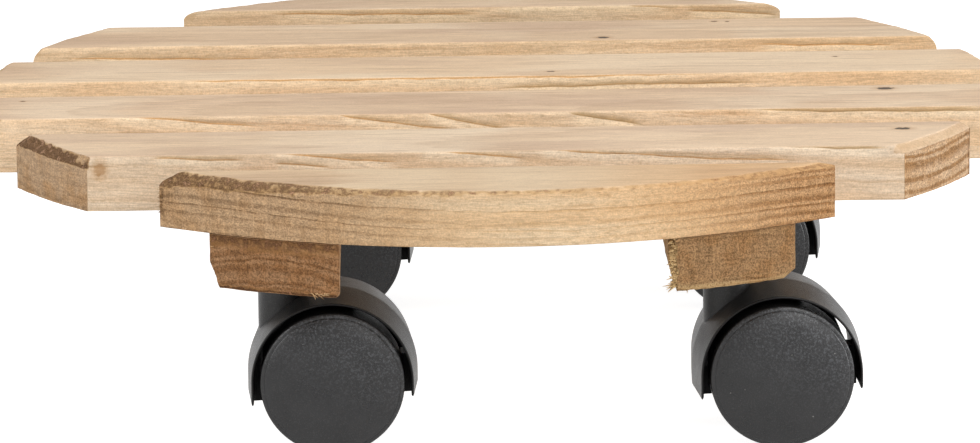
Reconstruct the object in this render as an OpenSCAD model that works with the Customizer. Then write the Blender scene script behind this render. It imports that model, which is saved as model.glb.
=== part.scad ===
// Round slatted plant caddy on four hooded twin-wheel casters.
// Origin: floor level under the middle of the deck. +Z up, front towards -Y.

/* [Deck] */
// Diameter of the round deck
deck_d = 297; // [270:1:360]
// Thickness of a slat
slat_t = 15.5; // [12:0.5:22]
// Width of a slat
slat_w = 32; // [26:0.5:38]
// How much closer than an even spacing the four inner slats lie
inner_close = 0.5; // [0:0.1:1]
// How far the four inner slats sit towards the front
inner_shift = 2; // [0:0.1:3]
// Radius worn on the top edge of the sawn rim
rim_round = 2.5; // [1:0.1:4]

/* [Battens] */
// Width of a batten
batten_w = 35.5; // [34:0.5:45]
// Thickness of a batten
batten_t = 15; // [12:0.5:20]
// Distance between the two battens, centre to centre
batten_spacing = 123.6; // [115:0.1:132]
// Sideways place of the pair of battens
batten_shift = 1.1; // [0:0.1:1.5]

/* [Slat screws] */
// Diameter of a slat screw's shank
slat_screw_d = 3.5; // [3:0.1:4]
// Length of a slat screw
slat_screw_l = 25; // [20:0.5:27]
// Diameter of a slat screw's countersunk head
slat_head_d = 7; // [6:0.1:8]
// Height of a slat screw's countersunk head
slat_head_h = 2.4; // [2:0.1:3]
// Distance from a slat's edge to its screws
screw_edge = 8; // [6:0.5:10]
// Distance between the two screws of an outer slat
outer_screw_gap = 14; // [10:0.5:18]

/* [Casters] */
// Overall height of a caster, floor to batten
caster_h = 54; // [53:0.5:60]
// Distance between the left and right swivel axes
caster_spacing = 124; // [116:0.1:132]
// Sideways place of the four casters
caster_shift = 2.1; // [1:0.1:3]
// Distance from the end of a batten to the swivel axis
caster_inset = 53.3; // [45:0.1:60]
// Distance from the swivel axis to the wheel axle
trail = 14; // [13:0.1:16]
// Trailing direction of the front right caster
front_right_turn = 2; // [-20:0.5:20]
// Trailing direction of the rear right caster
rear_right_turn = -2.5; // [-20:0.5:20]

/* [Mounting plate] */
// Side of the square mounting plate
plate_w = 32; // [31:0.5:33]
// Thickness of the mounting plate
plate_t = 2; // [1.5:0.1:2.5]
// Corner radius of the mounting plate
plate_corner = 4; // [2:0.5:5]
// Distance between the plate's screw holes
hole_pitch = 23; // [22:0.1:24]
// Diameter of the plate's screw holes
hole_d = 3.6; // [3.4:0.1:4.5]

/* [Plate screws] */
// Diameter of a plate screw's shank
plate_screw_d = 3; // [2.5:0.1:3.2]
// Length of a plate screw under its head
plate_screw_l = 12; // [9:0.5:13]
// Diameter of a plate screw's round head
plate_head_d = 6; // [5:0.1:6.5]
// Height of a plate screw's round head
plate_head_h = 1.8; // [1.2:0.1:2.4]

/* [Kingpin] */
// Diameter of the kingpin
pin_d = 8; // [7:0.1:8.5]
// Length of the kingpin under its collar
pin_l = 22; // [18:0.5:23]
// Diameter of the kingpin's collar
collar_d = 13; // [11:0.5:15]
// Thickness of the kingpin's collar
collar_t = 1.5; // [1:0.1:2]
// Depth of the ring groove in the kingpin
groove_depth = 0.8; // [0.5:0.1:1.2]
// Width of the ring groove in the kingpin
groove_w = 1.4; // [1:0.1:1.8]
// Distance from the kingpin's tip to its groove
groove_tip = 3; // [2:0.1:5]
// How far the grip ring stands out of the kingpin
ring_proud = 0.6; // [0.3:0.1:0.8]
// Gap in the split grip ring
ring_split = 1.6; // [1:0.1:2.5]

/* [Hood] */
// Outer radius of the hood at its middle crease
crease_r = 23.7; // [23.2:0.1:25]
// Outer radius of the hood at its two rims
hood_rim_r = 22.5; // [22.3:0.1:23.2]
// Radius of the hood's bore
hood_bore_r = 21.8; // [21:0.1:22]
// Width of the hood
hood_w = 34; // [30:0.5:38]
// Thickness of the hood's middle web
web_t = 7; // [3:0.1:9]
// How far the middle web reaches below the hood's lower edge
web_drop = 1.7; // [0:0.1:3]
// Diameter of the upright housing that holds the kingpin
housing_d = 13; // [12:0.1:13.6]
// Depth of the hood's lower edge under the axle
hood_drop = 5.4; // [3:0.1:7]
// Slope of the hood's lower edge, up towards its nose
drop_slope = 2.8; // [0:0.1:5]
// Diameter of the boss round the axle
boss_d = 12; // [10:0.1:14]
// Inner radius of the window in the web
window_r = 14; // [12:0.1:16]
// Height of the window's sill above the axle
window_sill = 4.9; // [4:0.1:8]
// Distance from the axle to the window's upright side
window_side = 7; // [4:0.1:9]

/* [Wheels] */
// Diameter of a wheel
wheel_d = 40; // [36:0.5:40.5]
// Width of a wheel
wheel_w = 13.2; // [11:0.1:13.4]
// Width over both wheels of a caster
over_wheels = 41; // [40.8:0.1:44]
// Thickness of a wheel's outer face
face_t = 2; // [1.5:0.1:2.5]
// Thickness of a wheel's rim
tread_t = 2; // [1.5:0.1:3]
// Radius on the outer edge of a wheel
face_round = 1.2; // [0.5:0.1:2]
// Diameter of a wheel's hub
hub_d = 11; // [10:0.1:14]
// Number of ribs in a wheel
rib_count = 6; // [4:1:10]
// Thickness of a rib
rib_t = 1.5; // [1:0.1:2.5]
// How far the ribs lie under the rim's inner edge
rib_sink = 1.5; // [0.5:0.1:4]

/* [Axle] */
// Diameter of the axle
axle_d = 6; // [5:0.1:6.5]
// Depth of the snap groove in the axle
snap_depth = 0.5; // [0.3:0.1:0.8]
// Width of the snap groove in the axle
snap_w = 1.2; // [1:0.1:1.6]
// Distance from the axle's end to its snap groove
snap_end = 1.4; // [1:0.1:2]

/* [Clearances] */
// Radial clearance of a running fit
run_fit = 0.05; // [0.02:0.01:0.1]
// Radial clearance of a tight fit inside one assembly
tight_fit = 0.02; // [0.01:0.01:0.03]
// Gap between the collar and the top of the housing
thrust_gap = 0.1; // [0.05:0.01:0.3]
// End play between a wheel and the boss
end_play = 0.3; // [0.2:0.05:0.5]
// Play of a ring or a bead in its groove, each way
snap_play = 0.1; // [0.05:0.01:0.15]
// Room round the grip ring inside the housing
ring_room = 0.3; // [0.2:0.05:0.4]

/* [Hidden] */

// Facets of a full circle on small, ordinary and large round shapes
small_fn = 48;
$fn = 96;
large_fn = 180;
// Number of slats, front to back
slat_count = 6;
// Overrun of a cutting solid past the face that it cuts
over = 1;
// How far one shape of a moulded piece reaches into its neighbour
join = 0.5;

deck_r = deck_d / 2;
batten_z = caster_h;
slat_z = batten_z + batten_t;
even_pitch = (deck_d - slat_w) / (slat_count - 1);

plate_z = caster_h - plate_t;
collar_z = plate_z - collar_t;
housing_top = collar_z - thrust_gap;
pin_tip_z = collar_z - pin_l;
pin_r = pin_d / 2;
groove_r = pin_r - groove_depth;
groove_z = pin_tip_z + groove_tip;
ring_r = pin_r + ring_proud;

wheel_r = wheel_d / 2;
axle_z = wheel_r;
axle_r = axle_d / 2;
wheel_in = over_wheels / 2 - wheel_w;
boss_half = wheel_in - end_play;
bore_depth = wheel_w - face_t;
axle_half = wheel_in + bore_depth - end_play;
snap_in = axle_half - snap_end - snap_w;

// Swivel axes: place and trailing direction of each caster
caster_y = sqrt(pow(deck_r, 2) - pow(batten_spacing / 2, 2)) - caster_inset;
left_x = caster_shift - caster_spacing / 2;
right_x = caster_shift + caster_spacing / 2;
front_left = [left_x, -caster_y, 0];
front_right = [right_x, -caster_y, front_right_turn];
rear_left = [left_x, caster_y, 0];
rear_right = [right_x, caster_y, rear_right_turn];
casters = [front_left, front_right, rear_left, rear_right];

// Centre line of slat i, counted from 0 at the front
function slat_y(i) =
    i == 0 || i == slat_count - 1
    ? (i - (slat_count - 1) / 2) * even_pitch
    : (i - (slat_count - 1) / 2) * (even_pitch - inner_close) - inner_shift;

// Centre line of batten side, -1 left and 1 right
function batten_x(side) = batten_shift + side * batten_spacing / 2;

// The two screw places where slat i crosses a batten
function crossing(i, side) =
    let (x = batten_x(side), y = slat_y(i), step = slat_w / 2 - screw_edge)
    i == 0
    ? [[x - outer_screw_gap / 2, y + step], [x + outer_screw_gap / 2, y + step]]
    : i == slat_count - 1
    ? [[x - outer_screw_gap / 2, y - step], [x + outer_screw_gap / 2, y - step]]
    : [[x, y - step], [x, y + step]];

slat_screw_places = [
    for (side = [-1, 1], i = [0 : slat_count - 1], p = crossing(i, side)) p
];

// Puts a shape that is turned about Z onto a line along Y through the axle
module on_axle() {
    translate([trail, 0, axle_z])
        rotate([90, 0, 0])
            children();
}

// Puts a caster's piece, drawn with its swivel axis on Z, under the deck
module at_caster(place) {
    translate([place[0], place[1], 0])
        rotate([0, 0, place[2]])
            children();
}

// Deck before it is sawn into slats: a disc with its top edge worn round
module deck_blank() {
    translate([0, 0, slat_z])
        rotate_extrude($fn = large_fn)
            union() {
                square([deck_r - rim_round, slat_t]);
                square([deck_r, slat_t - rim_round]);
                translate([deck_r - rim_round, slat_t - rim_round])
                    circle(rim_round);
            }
}

// Slat screw without its recess; the same shape is its hole in the wood
module slat_screw_body() {
    tip_h = slat_screw_d;
    translate([0, 0, batten_z])
        rotate_extrude($fn = small_fn)
            polygon([
                [0, 0],
                [slat_head_d / 2, 0],
                [slat_screw_d / 2, slat_head_h],
                [slat_screw_d / 2, slat_screw_l - tip_h],
                [0, slat_screw_l]
            ]);
}

module slat_screw_bodies() {
    for (p = slat_screw_places)
        translate([p[0], p[1], 0])
            slat_screw_body();
}

// Cross recess in a screw head whose face looks down at height z
module cross_recess(z, reach, depth) {
    blade = reach / 4;
    for (turn = [0, 90])
        rotate([0, 0, turn])
            translate([-reach / 2, -blade / 2, z - over])
                cube([reach, blade, depth + over]);
}

module slat_screws() {
    color("silver")
        for (p = slat_screw_places)
            translate([p[0], p[1], 0])
                difference() {
                    slat_screw_body();
                    cross_recess(batten_z, slat_head_d / 2, slat_head_h / 2);
                }
}

// Slat i of the sawn disc; the two outer slats keep the disc's own edge
module slat(i) {
    low = i == 0 ? -deck_d : slat_y(i) - slat_w / 2;
    high = i == slat_count - 1 ? deck_d : slat_y(i) + slat_w / 2;
    color("burlywood")
        difference() {
            intersection() {
                deck_blank();
                translate([-deck_d, low, slat_z - over])
                    cube([2 * deck_d, high - low, slat_t + 2 * over]);
            }
            slat_screw_bodies();
        }
}

// Batten under the slats, its ends sawn on the deck's own circle
module batten(side) {
    color("tan")
        difference() {
            intersection() {
                translate([0, 0, batten_z])
                    cylinder(r = deck_r, h = batten_t, $fn = large_fn);
                translate([batten_x(side) - batten_w / 2, -deck_d, batten_z - over])
                    cube([batten_w, 2 * deck_d, batten_t + 2 * over]);
            }
            slat_screw_bodies();
            for (place = casters)
                plate_screw_set(place)
                    plate_screw_body();
        }
}

// The four hole places of a plate
module plate_screw_set(place) {
    at_caster([place[0], place[1], 0])
        for (sx = [-1, 1], sy = [-1, 1])
            translate([sx * hole_pitch / 2, sy * hole_pitch / 2, 0])
                children();
}

// Plate screw without its recess; the same shape is its hole in the wood
module plate_screw_body() {
    tip_h = plate_screw_d;
    translate([0, 0, plate_z])
        rotate_extrude($fn = small_fn)
            polygon([
                [0, -plate_head_h],
                [plate_head_d / 2 - plate_head_h / 2, -plate_head_h],
                [plate_head_d / 2, -plate_head_h / 2],
                [plate_head_d / 2, 0],
                [plate_screw_d / 2, 0],
                [plate_screw_d / 2, plate_screw_l - tip_h],
                [0, plate_screw_l]
            ]);
}

module plate_screws() {
    color("silver")
        for (place = casters)
            plate_screw_set(place)
                difference() {
                    plate_screw_body();
                    cross_recess(plate_z - plate_head_h, plate_head_d / 2, plate_head_h / 2);
                }
}

// Square steel plate with round corners, four screw holes and the kingpin's hole
module plate(place) {
    flat = plate_w - 2 * plate_corner;
    color("silver")
        at_caster([place[0], place[1], 0])
            difference() {
                translate([0, 0, plate_z])
                    union() {
                        translate([-plate_w / 2, -flat / 2, 0])
                            cube([plate_w, flat, plate_t]);
                        translate([-flat / 2, -plate_w / 2, 0])
                            cube([flat, plate_w, plate_t]);
                        for (sx = [-1, 1], sy = [-1, 1])
                            translate([sx * flat / 2, sy * flat / 2, 0])
                                cylinder(r = plate_corner, h = plate_t, $fn = small_fn);
                    }
                for (sx = [-1, 1], sy = [-1, 1])
                    translate([sx * hole_pitch / 2, sy * hole_pitch / 2, plate_z - over])
                        cylinder(d = hole_d, h = plate_t + 2 * over, $fn = small_fn);
                translate([0, 0, plate_z - over])
                    cylinder(r = pin_r + tight_fit, h = plate_t + 2 * over);
            }
}

// Steel kingpin, riveted flush into the plate, with its collar and ring groove
module kingpin(place) {
    point = groove_depth;
    color("gray")
        at_caster([place[0], place[1], 0])
            rotate_extrude()
                polygon([
                    [0, pin_tip_z],
                    [pin_r - point, pin_tip_z],
                    [pin_r, pin_tip_z + point],
                    [pin_r, groove_z],
                    [groove_r, groove_z],
                    [groove_r, groove_z + groove_w],
                    [pin_r, groove_z + groove_w],
                    [pin_r, collar_z],
                    [collar_d / 2, collar_z],
                    [collar_d / 2, plate_z],
                    [pin_r, plate_z],
                    [pin_r, caster_h],
                    [0, caster_h]
                ]);
}

// Split spring ring that sits in the kingpin's groove and holds the hood up
module grip_ring(place) {
    ring_h = groove_w - 2 * snap_play;
    color("dimgray")
        at_caster([place[0], place[1], 0])
            translate([0, 0, groove_z + snap_play])
                difference() {
                    cylinder(r = ring_r, h = ring_h);
                    translate([0, 0, -over])
                        cylinder(r = groove_r + snap_play, h = ring_h + 2 * over);
                    translate([0, -ring_split / 2, -over])
                        cube([ring_r + over, ring_split, ring_h + 2 * over]);
                }
}

// Hood ring before its lower edge is cut
module hood_ring() {
    on_axle()
        rotate_extrude($fn = large_fn)
            polygon([
                [hood_bore_r, -hood_w / 2],
                [hood_rim_r, -hood_w / 2],
                [crease_r, 0],
                [hood_rim_r, hood_w / 2],
                [hood_bore_r, hood_w / 2]
            ]);
}

// Middle web before its lower edge is cut
module hood_web() {
    on_axle()
        cylinder(r = hood_bore_r + join, h = web_t, center = true, $fn = large_fn);
}

// Upright housing of the kingpin, its start line turned off the hood's crease
module housing() {
    rotate([0, 0, 90])
        cylinder(d = housing_d, h = housing_top);
}

// Window in the web, in the upper corner away from the housing
module web_window() {
    on_axle()
        intersection() {
            difference() {
                cylinder(r = hood_bore_r, h = web_t + 2 * over, center = true, $fn = large_fn);
                cylinder(r = window_r, h = web_t + 3 * over, center = true, $fn = large_fn);
            }
            translate([window_side, window_sill, -web_t])
                cube([crease_r, crease_r, 2 * web_t]);
        }
}

// Space above the sloping lower edge of the hood, or of the web further down
module above_lower_edge(further = 0) {
    side = 4 * crease_r;
    translate([trail, 0, axle_z - hood_drop - further])
        rotate([0, -drop_slope, 0])
            translate([-side / 2, -side / 2, 0])
                cube([side, side, side]);
}

// One moulding: hood, web, housing of the kingpin and boss of the axle
module hood(place) {
    ring_low = groove_z + snap_play - ring_room;
    ring_high = groove_z + groove_w - snap_play + ring_room;
    color("#2c2c2e")
        at_caster(place)
            difference() {
                union() {
                    intersection() {
                        union() {
                            hood_ring();
                            housing();
                        }
                        above_lower_edge();
                    }
                    intersection() {
                        hood_web();
                        above_lower_edge(web_drop);
                    }
                    on_axle()
                        cylinder(d = boss_d, h = 2 * boss_half, center = true);
                }
                web_window();
                translate([0, 0, pin_tip_z - join])
                    cylinder(r = pin_r + run_fit, h = pin_l + 2 * over);
                translate([0, 0, ring_low])
                    cylinder(r = ring_r + ring_room, h = ring_high - ring_low);
                on_axle()
                    cylinder(r = axle_r + tight_fit, h = over_wheels, center = true);
            }
}

// Steel axle with a snap groove at each end
module axle(place) {
    bevel = snap_depth;
    color("silver")
        at_caster(place)
            on_axle()
                rotate_extrude()
                    polygon([
                        [0, -axle_half],
                        [axle_r - bevel, -axle_half],
                        [axle_r, -axle_half + bevel],
                        [axle_r, -snap_in - snap_w],
                        [axle_r - snap_depth, -snap_in - snap_w],
                        [axle_r - snap_depth, -snap_in],
                        [axle_r, -snap_in],
                        [axle_r, snap_in],
                        [axle_r - snap_depth, snap_in],
                        [axle_r - snap_depth, snap_in + snap_w],
                        [axle_r, snap_in + snap_w],
                        [axle_r, axle_half - bevel],
                        [axle_r - bevel, axle_half],
                        [0, axle_half]
                    ]);
}

// Outside of a wheel: a drum with a round edge at its outer face
module wheel_drum() {
    rotate_extrude($fn = large_fn)
        union() {
            square([wheel_r - face_round, wheel_w]);
            square([wheel_r, wheel_w - face_round]);
            translate([wheel_r - face_round, wheel_w - face_round])
                circle(face_round);
        }
}

// Hollow of a wheel, left between its rim, hub and ribs
module wheel_hollow() {
    hollow_r = wheel_r - tread_t;
    difference() {
        translate([0, 0, -over])
            cylinder(r = hollow_r, h = bore_depth + over, $fn = large_fn);
        translate([0, 0, -2 * over])
            cylinder(d = hub_d, h = bore_depth + 3 * over);
        for (k = [0 : rib_count - 1])
            rotate([0, 0, k * 360 / rib_count])
                translate([0, -rib_t / 2, rib_sink])
                    cube([wheel_r, rib_t, bore_depth]);
    }
}

// Blind bore of a wheel, with the bead that snaps into the axle's groove
module wheel_bore() {
    bore_r = axle_r + run_fit;
    bead_r = axle_r - snap_depth + snap_play;
    bead_low = snap_in - wheel_in + snap_play;
    bead_high = bead_low + snap_w - 2 * snap_play;
    rotate_extrude()
        polygon([
            [0, -over],
            [bore_r, -over],
            [bore_r, bead_low],
            [bead_r, bead_low],
            [bead_r, bead_high],
            [bore_r, bead_high],
            [bore_r, bore_depth],
            [0, bore_depth]
        ]);
}

// Wheel on the front (1) or the back (-1) end of its axle
module wheel(place, end) {
    color("#3a3a3c")
        at_caster(place)
            on_axle()
                rotate([end > 0 ? 0 : 180, 0, 0])
                    translate([0, 0, wheel_in])
                        difference() {
                            wheel_drum();
                            wheel_hollow();
                            wheel_bore();
                        }
}

slat(0);  // slat_1
slat(1);  // slat_2
slat(2);  // slat_3
slat(3);  // slat_4
slat(4);  // slat_5
slat(5);  // slat_6
batten(-1);  // left_batten
batten(1);  // right_batten
slat_screws();
plate_screws();
plate(front_left);  // front_left_plate
kingpin(front_left);  // front_left_kingpin
grip_ring(front_left);  // front_left_grip_ring
hood(front_left);  // front_left_hood
axle(front_left);  // front_left_axle
wheel(front_left, 1);  // front_left_wheel_front
wheel(front_left, -1);  // front_left_wheel_back
plate(front_right);  // front_right_plate
kingpin(front_right);  // front_right_kingpin
grip_ring(front_right);  // front_right_grip_ring
hood(front_right);  // front_right_hood
axle(front_right);  // front_right_axle
wheel(front_right, 1);  // front_right_wheel_front
wheel(front_right, -1);  // front_right_wheel_back
plate(rear_left);  // rear_left_plate
kingpin(rear_left);  // rear_left_kingpin
grip_ring(rear_left);  // rear_left_grip_ring
hood(rear_left);  // rear_left_hood
axle(rear_left);  // rear_left_axle
wheel(rear_left, 1);  // rear_left_wheel_front
wheel(rear_left, -1);  // rear_left_wheel_back
plate(rear_right);  // rear_right_plate
kingpin(rear_right);  // rear_right_kingpin
grip_ring(rear_right);  // rear_right_grip_ring
hood(rear_right);  // rear_right_hood
axle(rear_right);  // rear_right_axle
wheel(rear_right, 1);  // rear_right_wheel_front
wheel(rear_right, -1);  // rear_right_wheel_back
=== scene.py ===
# %% [markdown]
# # The looks of a round slatted plant caddy
# The caddy is a sawn wooden disc on four twin-wheel casters. The CAD model already holds the
# true sizes, the joints and everything that moves. This file gives it the looks: rough-sawn
# fir with dark end grain, black moulded plastic with dust on it, and zinc-plated steel.
# Every new piece is worked out as whole arrays with numpy, rides on the CAD body that it
# belongs to, and stands exactly where the CAD solid stands.

import math

import bpy
import numpy as np
from mathutils import Euler, Matrix, Vector


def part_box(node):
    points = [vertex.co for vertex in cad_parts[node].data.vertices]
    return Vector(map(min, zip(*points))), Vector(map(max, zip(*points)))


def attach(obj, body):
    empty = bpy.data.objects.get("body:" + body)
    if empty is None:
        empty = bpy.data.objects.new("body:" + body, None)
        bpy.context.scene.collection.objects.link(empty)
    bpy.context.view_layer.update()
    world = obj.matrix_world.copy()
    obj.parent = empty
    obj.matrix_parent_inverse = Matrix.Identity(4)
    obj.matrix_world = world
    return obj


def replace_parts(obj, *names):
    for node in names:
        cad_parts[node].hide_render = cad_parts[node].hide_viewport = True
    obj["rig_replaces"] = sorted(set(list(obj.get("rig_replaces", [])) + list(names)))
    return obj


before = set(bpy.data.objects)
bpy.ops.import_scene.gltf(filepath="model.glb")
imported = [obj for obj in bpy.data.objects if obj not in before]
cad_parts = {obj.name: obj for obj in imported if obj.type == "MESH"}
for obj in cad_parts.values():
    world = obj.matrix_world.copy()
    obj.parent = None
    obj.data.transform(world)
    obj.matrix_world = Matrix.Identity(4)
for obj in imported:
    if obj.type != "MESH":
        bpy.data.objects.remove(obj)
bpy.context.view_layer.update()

# %% [markdown]
# ## Sizes
# All shapes below are worked out in millimetres, as on a maker's drawing, and turned into
# metres when the mesh is made. The places of the boards and casters come from the CAD nodes,
# so a change there moves the looks as well.

# %% Read the places of the pieces
MM = 0.001


def node_box(node):
    """Lowest and highest corner of a CAD node, in millimetres."""
    low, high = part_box(node)
    return np.array(low) / MM, np.array(high) / MM


def middle_and_size(node):
    """Middle and size of a CAD node's box, in millimetres."""
    low, high = node_box(node)
    return (low + high) / 2, high - low


SLATS = [f"slat_{n}" for n in range(1, 7)]
DECK_R = -node_box("slat_1")[0][1]
DECK_TOP = node_box("slat_1")[1][2]
print(f"deck radius {DECK_R:.1f} mm, top at {DECK_TOP:.1f} mm")

# %% [markdown]
# ## A helper for meshes
# Blender's own cubes and cylinders would have to be cut, bent and joined one by one. Here a mesh
# is an array of points and arrays of faces instead, all worked out in one go. Points may also
# carry masks, such as how much end grain shows there, which the materials read as attributes.
# Faces are shaded smooth, and an edge sharper than 40 degrees stays crisp.

# %% Turn arrays into a piece
SHARP = math.radians(40)


def join_shells(shells):
    """Puts closed shells in one mesh: each shell's corner numbers grow by the points before
    it. A shell is its points and a list of face arrays, one for each number of corners."""
    starts = np.cumsum([0] + [len(points) for points, _ in shells])
    points = np.vstack([points for points, _ in shells])
    faces = [
        face
        for (_, kinds), start in zip(shells, starts)
        for kind in kinds
        for face in (kind + start).tolist()
    ]
    return points, faces


def make_piece(name, body, points, faces, node, masks=None):
    """Makes a mesh from points in millimetres and its faces. Each mask becomes a named value
    on every point. The piece rides on a CAD body and stands for a CAD node."""
    mesh = bpy.data.meshes.new(name)
    mesh.from_pydata((points * MM).tolist(), [], faces)
    mesh.shade_smooth()
    mesh.set_sharp_from_angle(angle=SHARP)
    for label, values in (masks or {}).items():
        mask = mesh.attributes.new(label, "FLOAT", "POINT")
        mask.data.foreach_set("value", values.astype(np.float32))
    piece = bpy.data.objects.new(name, mesh)
    bpy.context.scene.collection.objects.link(piece)
    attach(piece, body)
    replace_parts(piece, node)
    print(f"{name}: {len(mesh.vertices)} points, {len(mesh.polygons)} faces")
    return piece


# %% [markdown]
# ## Noise
# Sawn wood is never quite flat. A Displace modifier could roughen it, but it would not know
# where the wood is sawn, planed or worn, so the unevenness is worked out here. It is value
# noise: a random number sits on each corner of a cubic lattice, and a point between the corners
# gets a smooth blend of the eight around it. The random numbers come from an integer hash, so
# every run gives the same.

# %% Work out smooth noise
def lattice_value(i, j, k, seed):
    """Number from 0 to 1 for a lattice corner: its three whole numbers are multiplied by large
    odd numbers, added, and their bits shifted over each other."""
    h = (i * 374761393 + j * 668265263 + k * 1274126177 + seed * 974634777) & 0xFFFFFFFF
    h = ((h ^ (h >> 13)) * 1103515245) & 0xFFFFFFFF
    h = ((h ^ (h >> 16)) * 2654435761) & 0xFFFFFFFF
    return (h ^ (h >> 15)) / 0xFFFFFFFF


def noise(points, size, seed=0):
    """Smooth noise from 0 to 1. Points are divided by the size of a lattice cell; the eight
    corner values are blended with weights that ease in and out, 3t^2 - 2t^3."""
    p = points / np.array(size, float)
    cell = np.floor(p).astype(np.int64)
    t = p - cell
    t = t * t * (3 - 2 * t)
    total = np.zeros(len(p))
    for corner in np.ndindex(2, 2, 2):
        weight = np.prod(np.where(corner, t, 1 - t), axis=1)
        total += weight * lattice_value(*(cell + corner).T, seed)
    return total


def rough(points, size, seed=0):
    """Three layers of noise, each half as large and half as strong as the one before, 0 to 1."""
    layers = [noise(points, np.array(size, float) / 2**n, seed + n) / 2**n for n in range(3)]
    return sum(layers) / 1.75


def ease(values, low, high):
    """0 at low, 1 at high, 3t^2 - 2t^3 between and level outside. Low may be the larger."""
    t = np.clip((values - low) / (high - low), 0, 1)
    return t * t * (3 - 2 * t)


sample = rough(np.random.default_rng(1).uniform(0, 60, (2000, 3)), (5, 5, 5))
print(f"noise at 2000 places runs from {sample.min():.2f} to {sample.max():.2f}")

# %% [markdown]
# ## A board as the skin of a block
# A board has six faces that meet along shared edges. It could be modelled as a cube and cut up,
# but a sawn board needs fine, even detail all over. So each board is the skin of a block of
# lattice points: only the points on its outside are kept, each once, and neighbours on a face
# are joined to quads. The lattice is closer near the edges, where the wear is.

# %% Make the skin of a block
def stations(length, step, border, fine):
    """Places from 0 to 1 along a side: step mm apart in the middle, and closer towards both
    ends, where border * (1 - cos) of evenly spaced angles packs them against the edge."""
    edge = border * (1 - np.cos(np.linspace(0, np.pi / 2, fine, endpoint=False)))
    count = max(int((length - 2 * border) / step), 1) + 1
    middle = np.linspace(border, length - border, count)
    return np.concatenate([edge, middle, length - edge[::-1]]) / length


def block_skin(a, b, c):
    """Points (a, b, c) on the six faces of a block, and quads that face outwards: a quad's
    corners run as the two axes that span its face do, turned round where that faces in."""
    shape = (len(a), len(b), len(c))
    i, j, k = np.indices(shape)
    last = np.array(shape) - 1
    skin = (i % last[0] == 0) | (j % last[1] == 0) | (k % last[2] == 0)
    number = np.full(shape, -1)
    number[skin] = np.arange(skin.sum())
    quads = []
    for axis in range(3):
        for end in (0, -1):
            g = np.moveaxis(number, axis, 0)[end]
            q = np.stack([g[:-1, :-1], g[1:, :-1], g[1:, 1:], g[:-1, 1:]], -1).reshape(-1, 4)
            quads.append(q if (end == -1) != (axis == 1) else q[:, ::-1])
    return np.stack([a[i[skin]], b[j[skin]], c[k[skin]]], -1), np.vstack(quads)


def outward(points, quads):
    """Normal at each point: the cross products of the diagonals of the quads round it, added
    up and brought to length one."""
    one, two = points[quads[:, 2]] - points[quads[:, 0]], points[quads[:, 3]] - points[quads[:, 1]]
    cross = np.cross(one, two)
    total = np.zeros_like(points)
    for corner in range(4):
        np.add.at(total, quads[:, corner], cross)
    return total / np.maximum(np.linalg.norm(total, axis=1), 1e-12)[:, None]


def board_block(lengths, grid):
    """The skin of a block with shares from -1 to 1 along its sides, for a board of these
    lengths. The grid gives each side's step, border and number of fine stations."""
    p, quads = block_skin(*(stations(length, *spacing) for length, spacing in zip(lengths, grid)))
    return 2 * p - 1, quads


print("a block of 3 x 3 x 3 points has", len(block_skin(*[np.arange(3.0)] * 3)[0]), "on its skin")

# %% [markdown]
# ## Worn edges
# The saw leaves a sharp edge and handling wears it round. A Bevel modifier would round all of an
# edge alike; worn wood is rounder in one place than in the next, so the points are moved. In the
# corner square where two faces meet, a point keeps its direction from the square's inner corner,
# and its longer coordinate becomes its distance from there. That lays the square's two outer
# sides on a quarter circle. A broken or waned edge is simpler still: a plane is laid across it,
# and what stands past it is pushed back on to it.

# %% Round and plane an edge
EDGE_ROUND = 0.95


def round_edge(p, half, i, k, radius, side=0):
    """Rounds the edge between the faces across axes i and k of a block with these half sizes.
    With side 1 or -1, only the edges on that side of axis k are rounded."""
    over_i = np.maximum(np.abs(p[:, i]) - half[:, i] + radius, 0)
    over_k = np.maximum(np.abs(p[:, k]) - half[:, k] + radius, 0)
    if side:
        over_k = np.where(p[:, k] * side > 0, over_k, 0)
    reach = np.maximum(np.hypot(over_i, over_k), 1e-9)
    kept = np.where((over_i > 0) & (over_k > 0), np.maximum(over_i, over_k) / reach, 1)
    p[:, i] -= np.sign(p[:, i]) * over_i * (1 - kept)
    p[:, k] -= np.sign(p[:, k]) * over_k * (1 - kept)


def uneven_round(p, size, seed):
    """A handled edge's rounding at each point: EDGE_ROUND, more or less by up to three tenths."""
    return EDGE_ROUND * (0.7 + 0.6 * noise(p, size, seed))


def plane_off(p, corner, normal, depth):
    """Lays a plane across a corner, depth mm under it, and moves each point that stands past
    the plane back along its normal. Returns how far each was moved."""
    normal = np.array(normal, float) / np.linalg.norm(normal)
    past = np.clip((p - corner) @ normal + depth, 0, None)
    p -= past[:, None] * normal
    return past


print(f"edges are rounded by about {EDGE_ROUND} mm")

# %% [markdown]
# ## The sawn rim
# The slats and battens were joined first and then sawn to one circle. Where the saw cuts across
# the grain, the wood looks dark and torn; where it runs along the grain, pale. So each point
# carries `end_grain`, the share of its normal that points along the board's grain. The upper
# rim is worn round and darkened by handling, most of all at the front left; on the right it is
# rubbed pale. One round edge all the way would look new, so tables give the wear at some angles
# round the deck in degrees, and it runs evenly from one to the next. Each upright column of
# points is pressed down to the height that the worn profile has there.

# %% Describe the rim's wear
# Angle, reach in from the circle in mm, drop from the top in mm, and how flat it is, not round.
RIM_WEAR = np.array([
    (-180, 3.0, 3.0, 0.3), (-150, 3.2, 3.0, 0.9), (-139, 0.8, 3.6, 0.9), (-130, 3.5, 4.8, 0.6),
    (-127, 3.4, 4.4, 0.5), (-123, 2.8, 3.1, 0.2), (-105, 1.8, 1.8, 0.2), (-90, 1.1, 1.1, 0.1),
    (-70, 1.2, 1.2, 0.1), (-52, 2.2, 1.4, 0.7), (-40, 2.4, 2.4, 0.9), (-25, 2.3, 1.9, 0.8),
    (0, 2.6, 2.6, 0.2), (30, 3.0, 3.6, 0.0), (150, 3.0, 3.6, 0.0), (180, 3.0, 3.0, 0.3),
])
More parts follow.
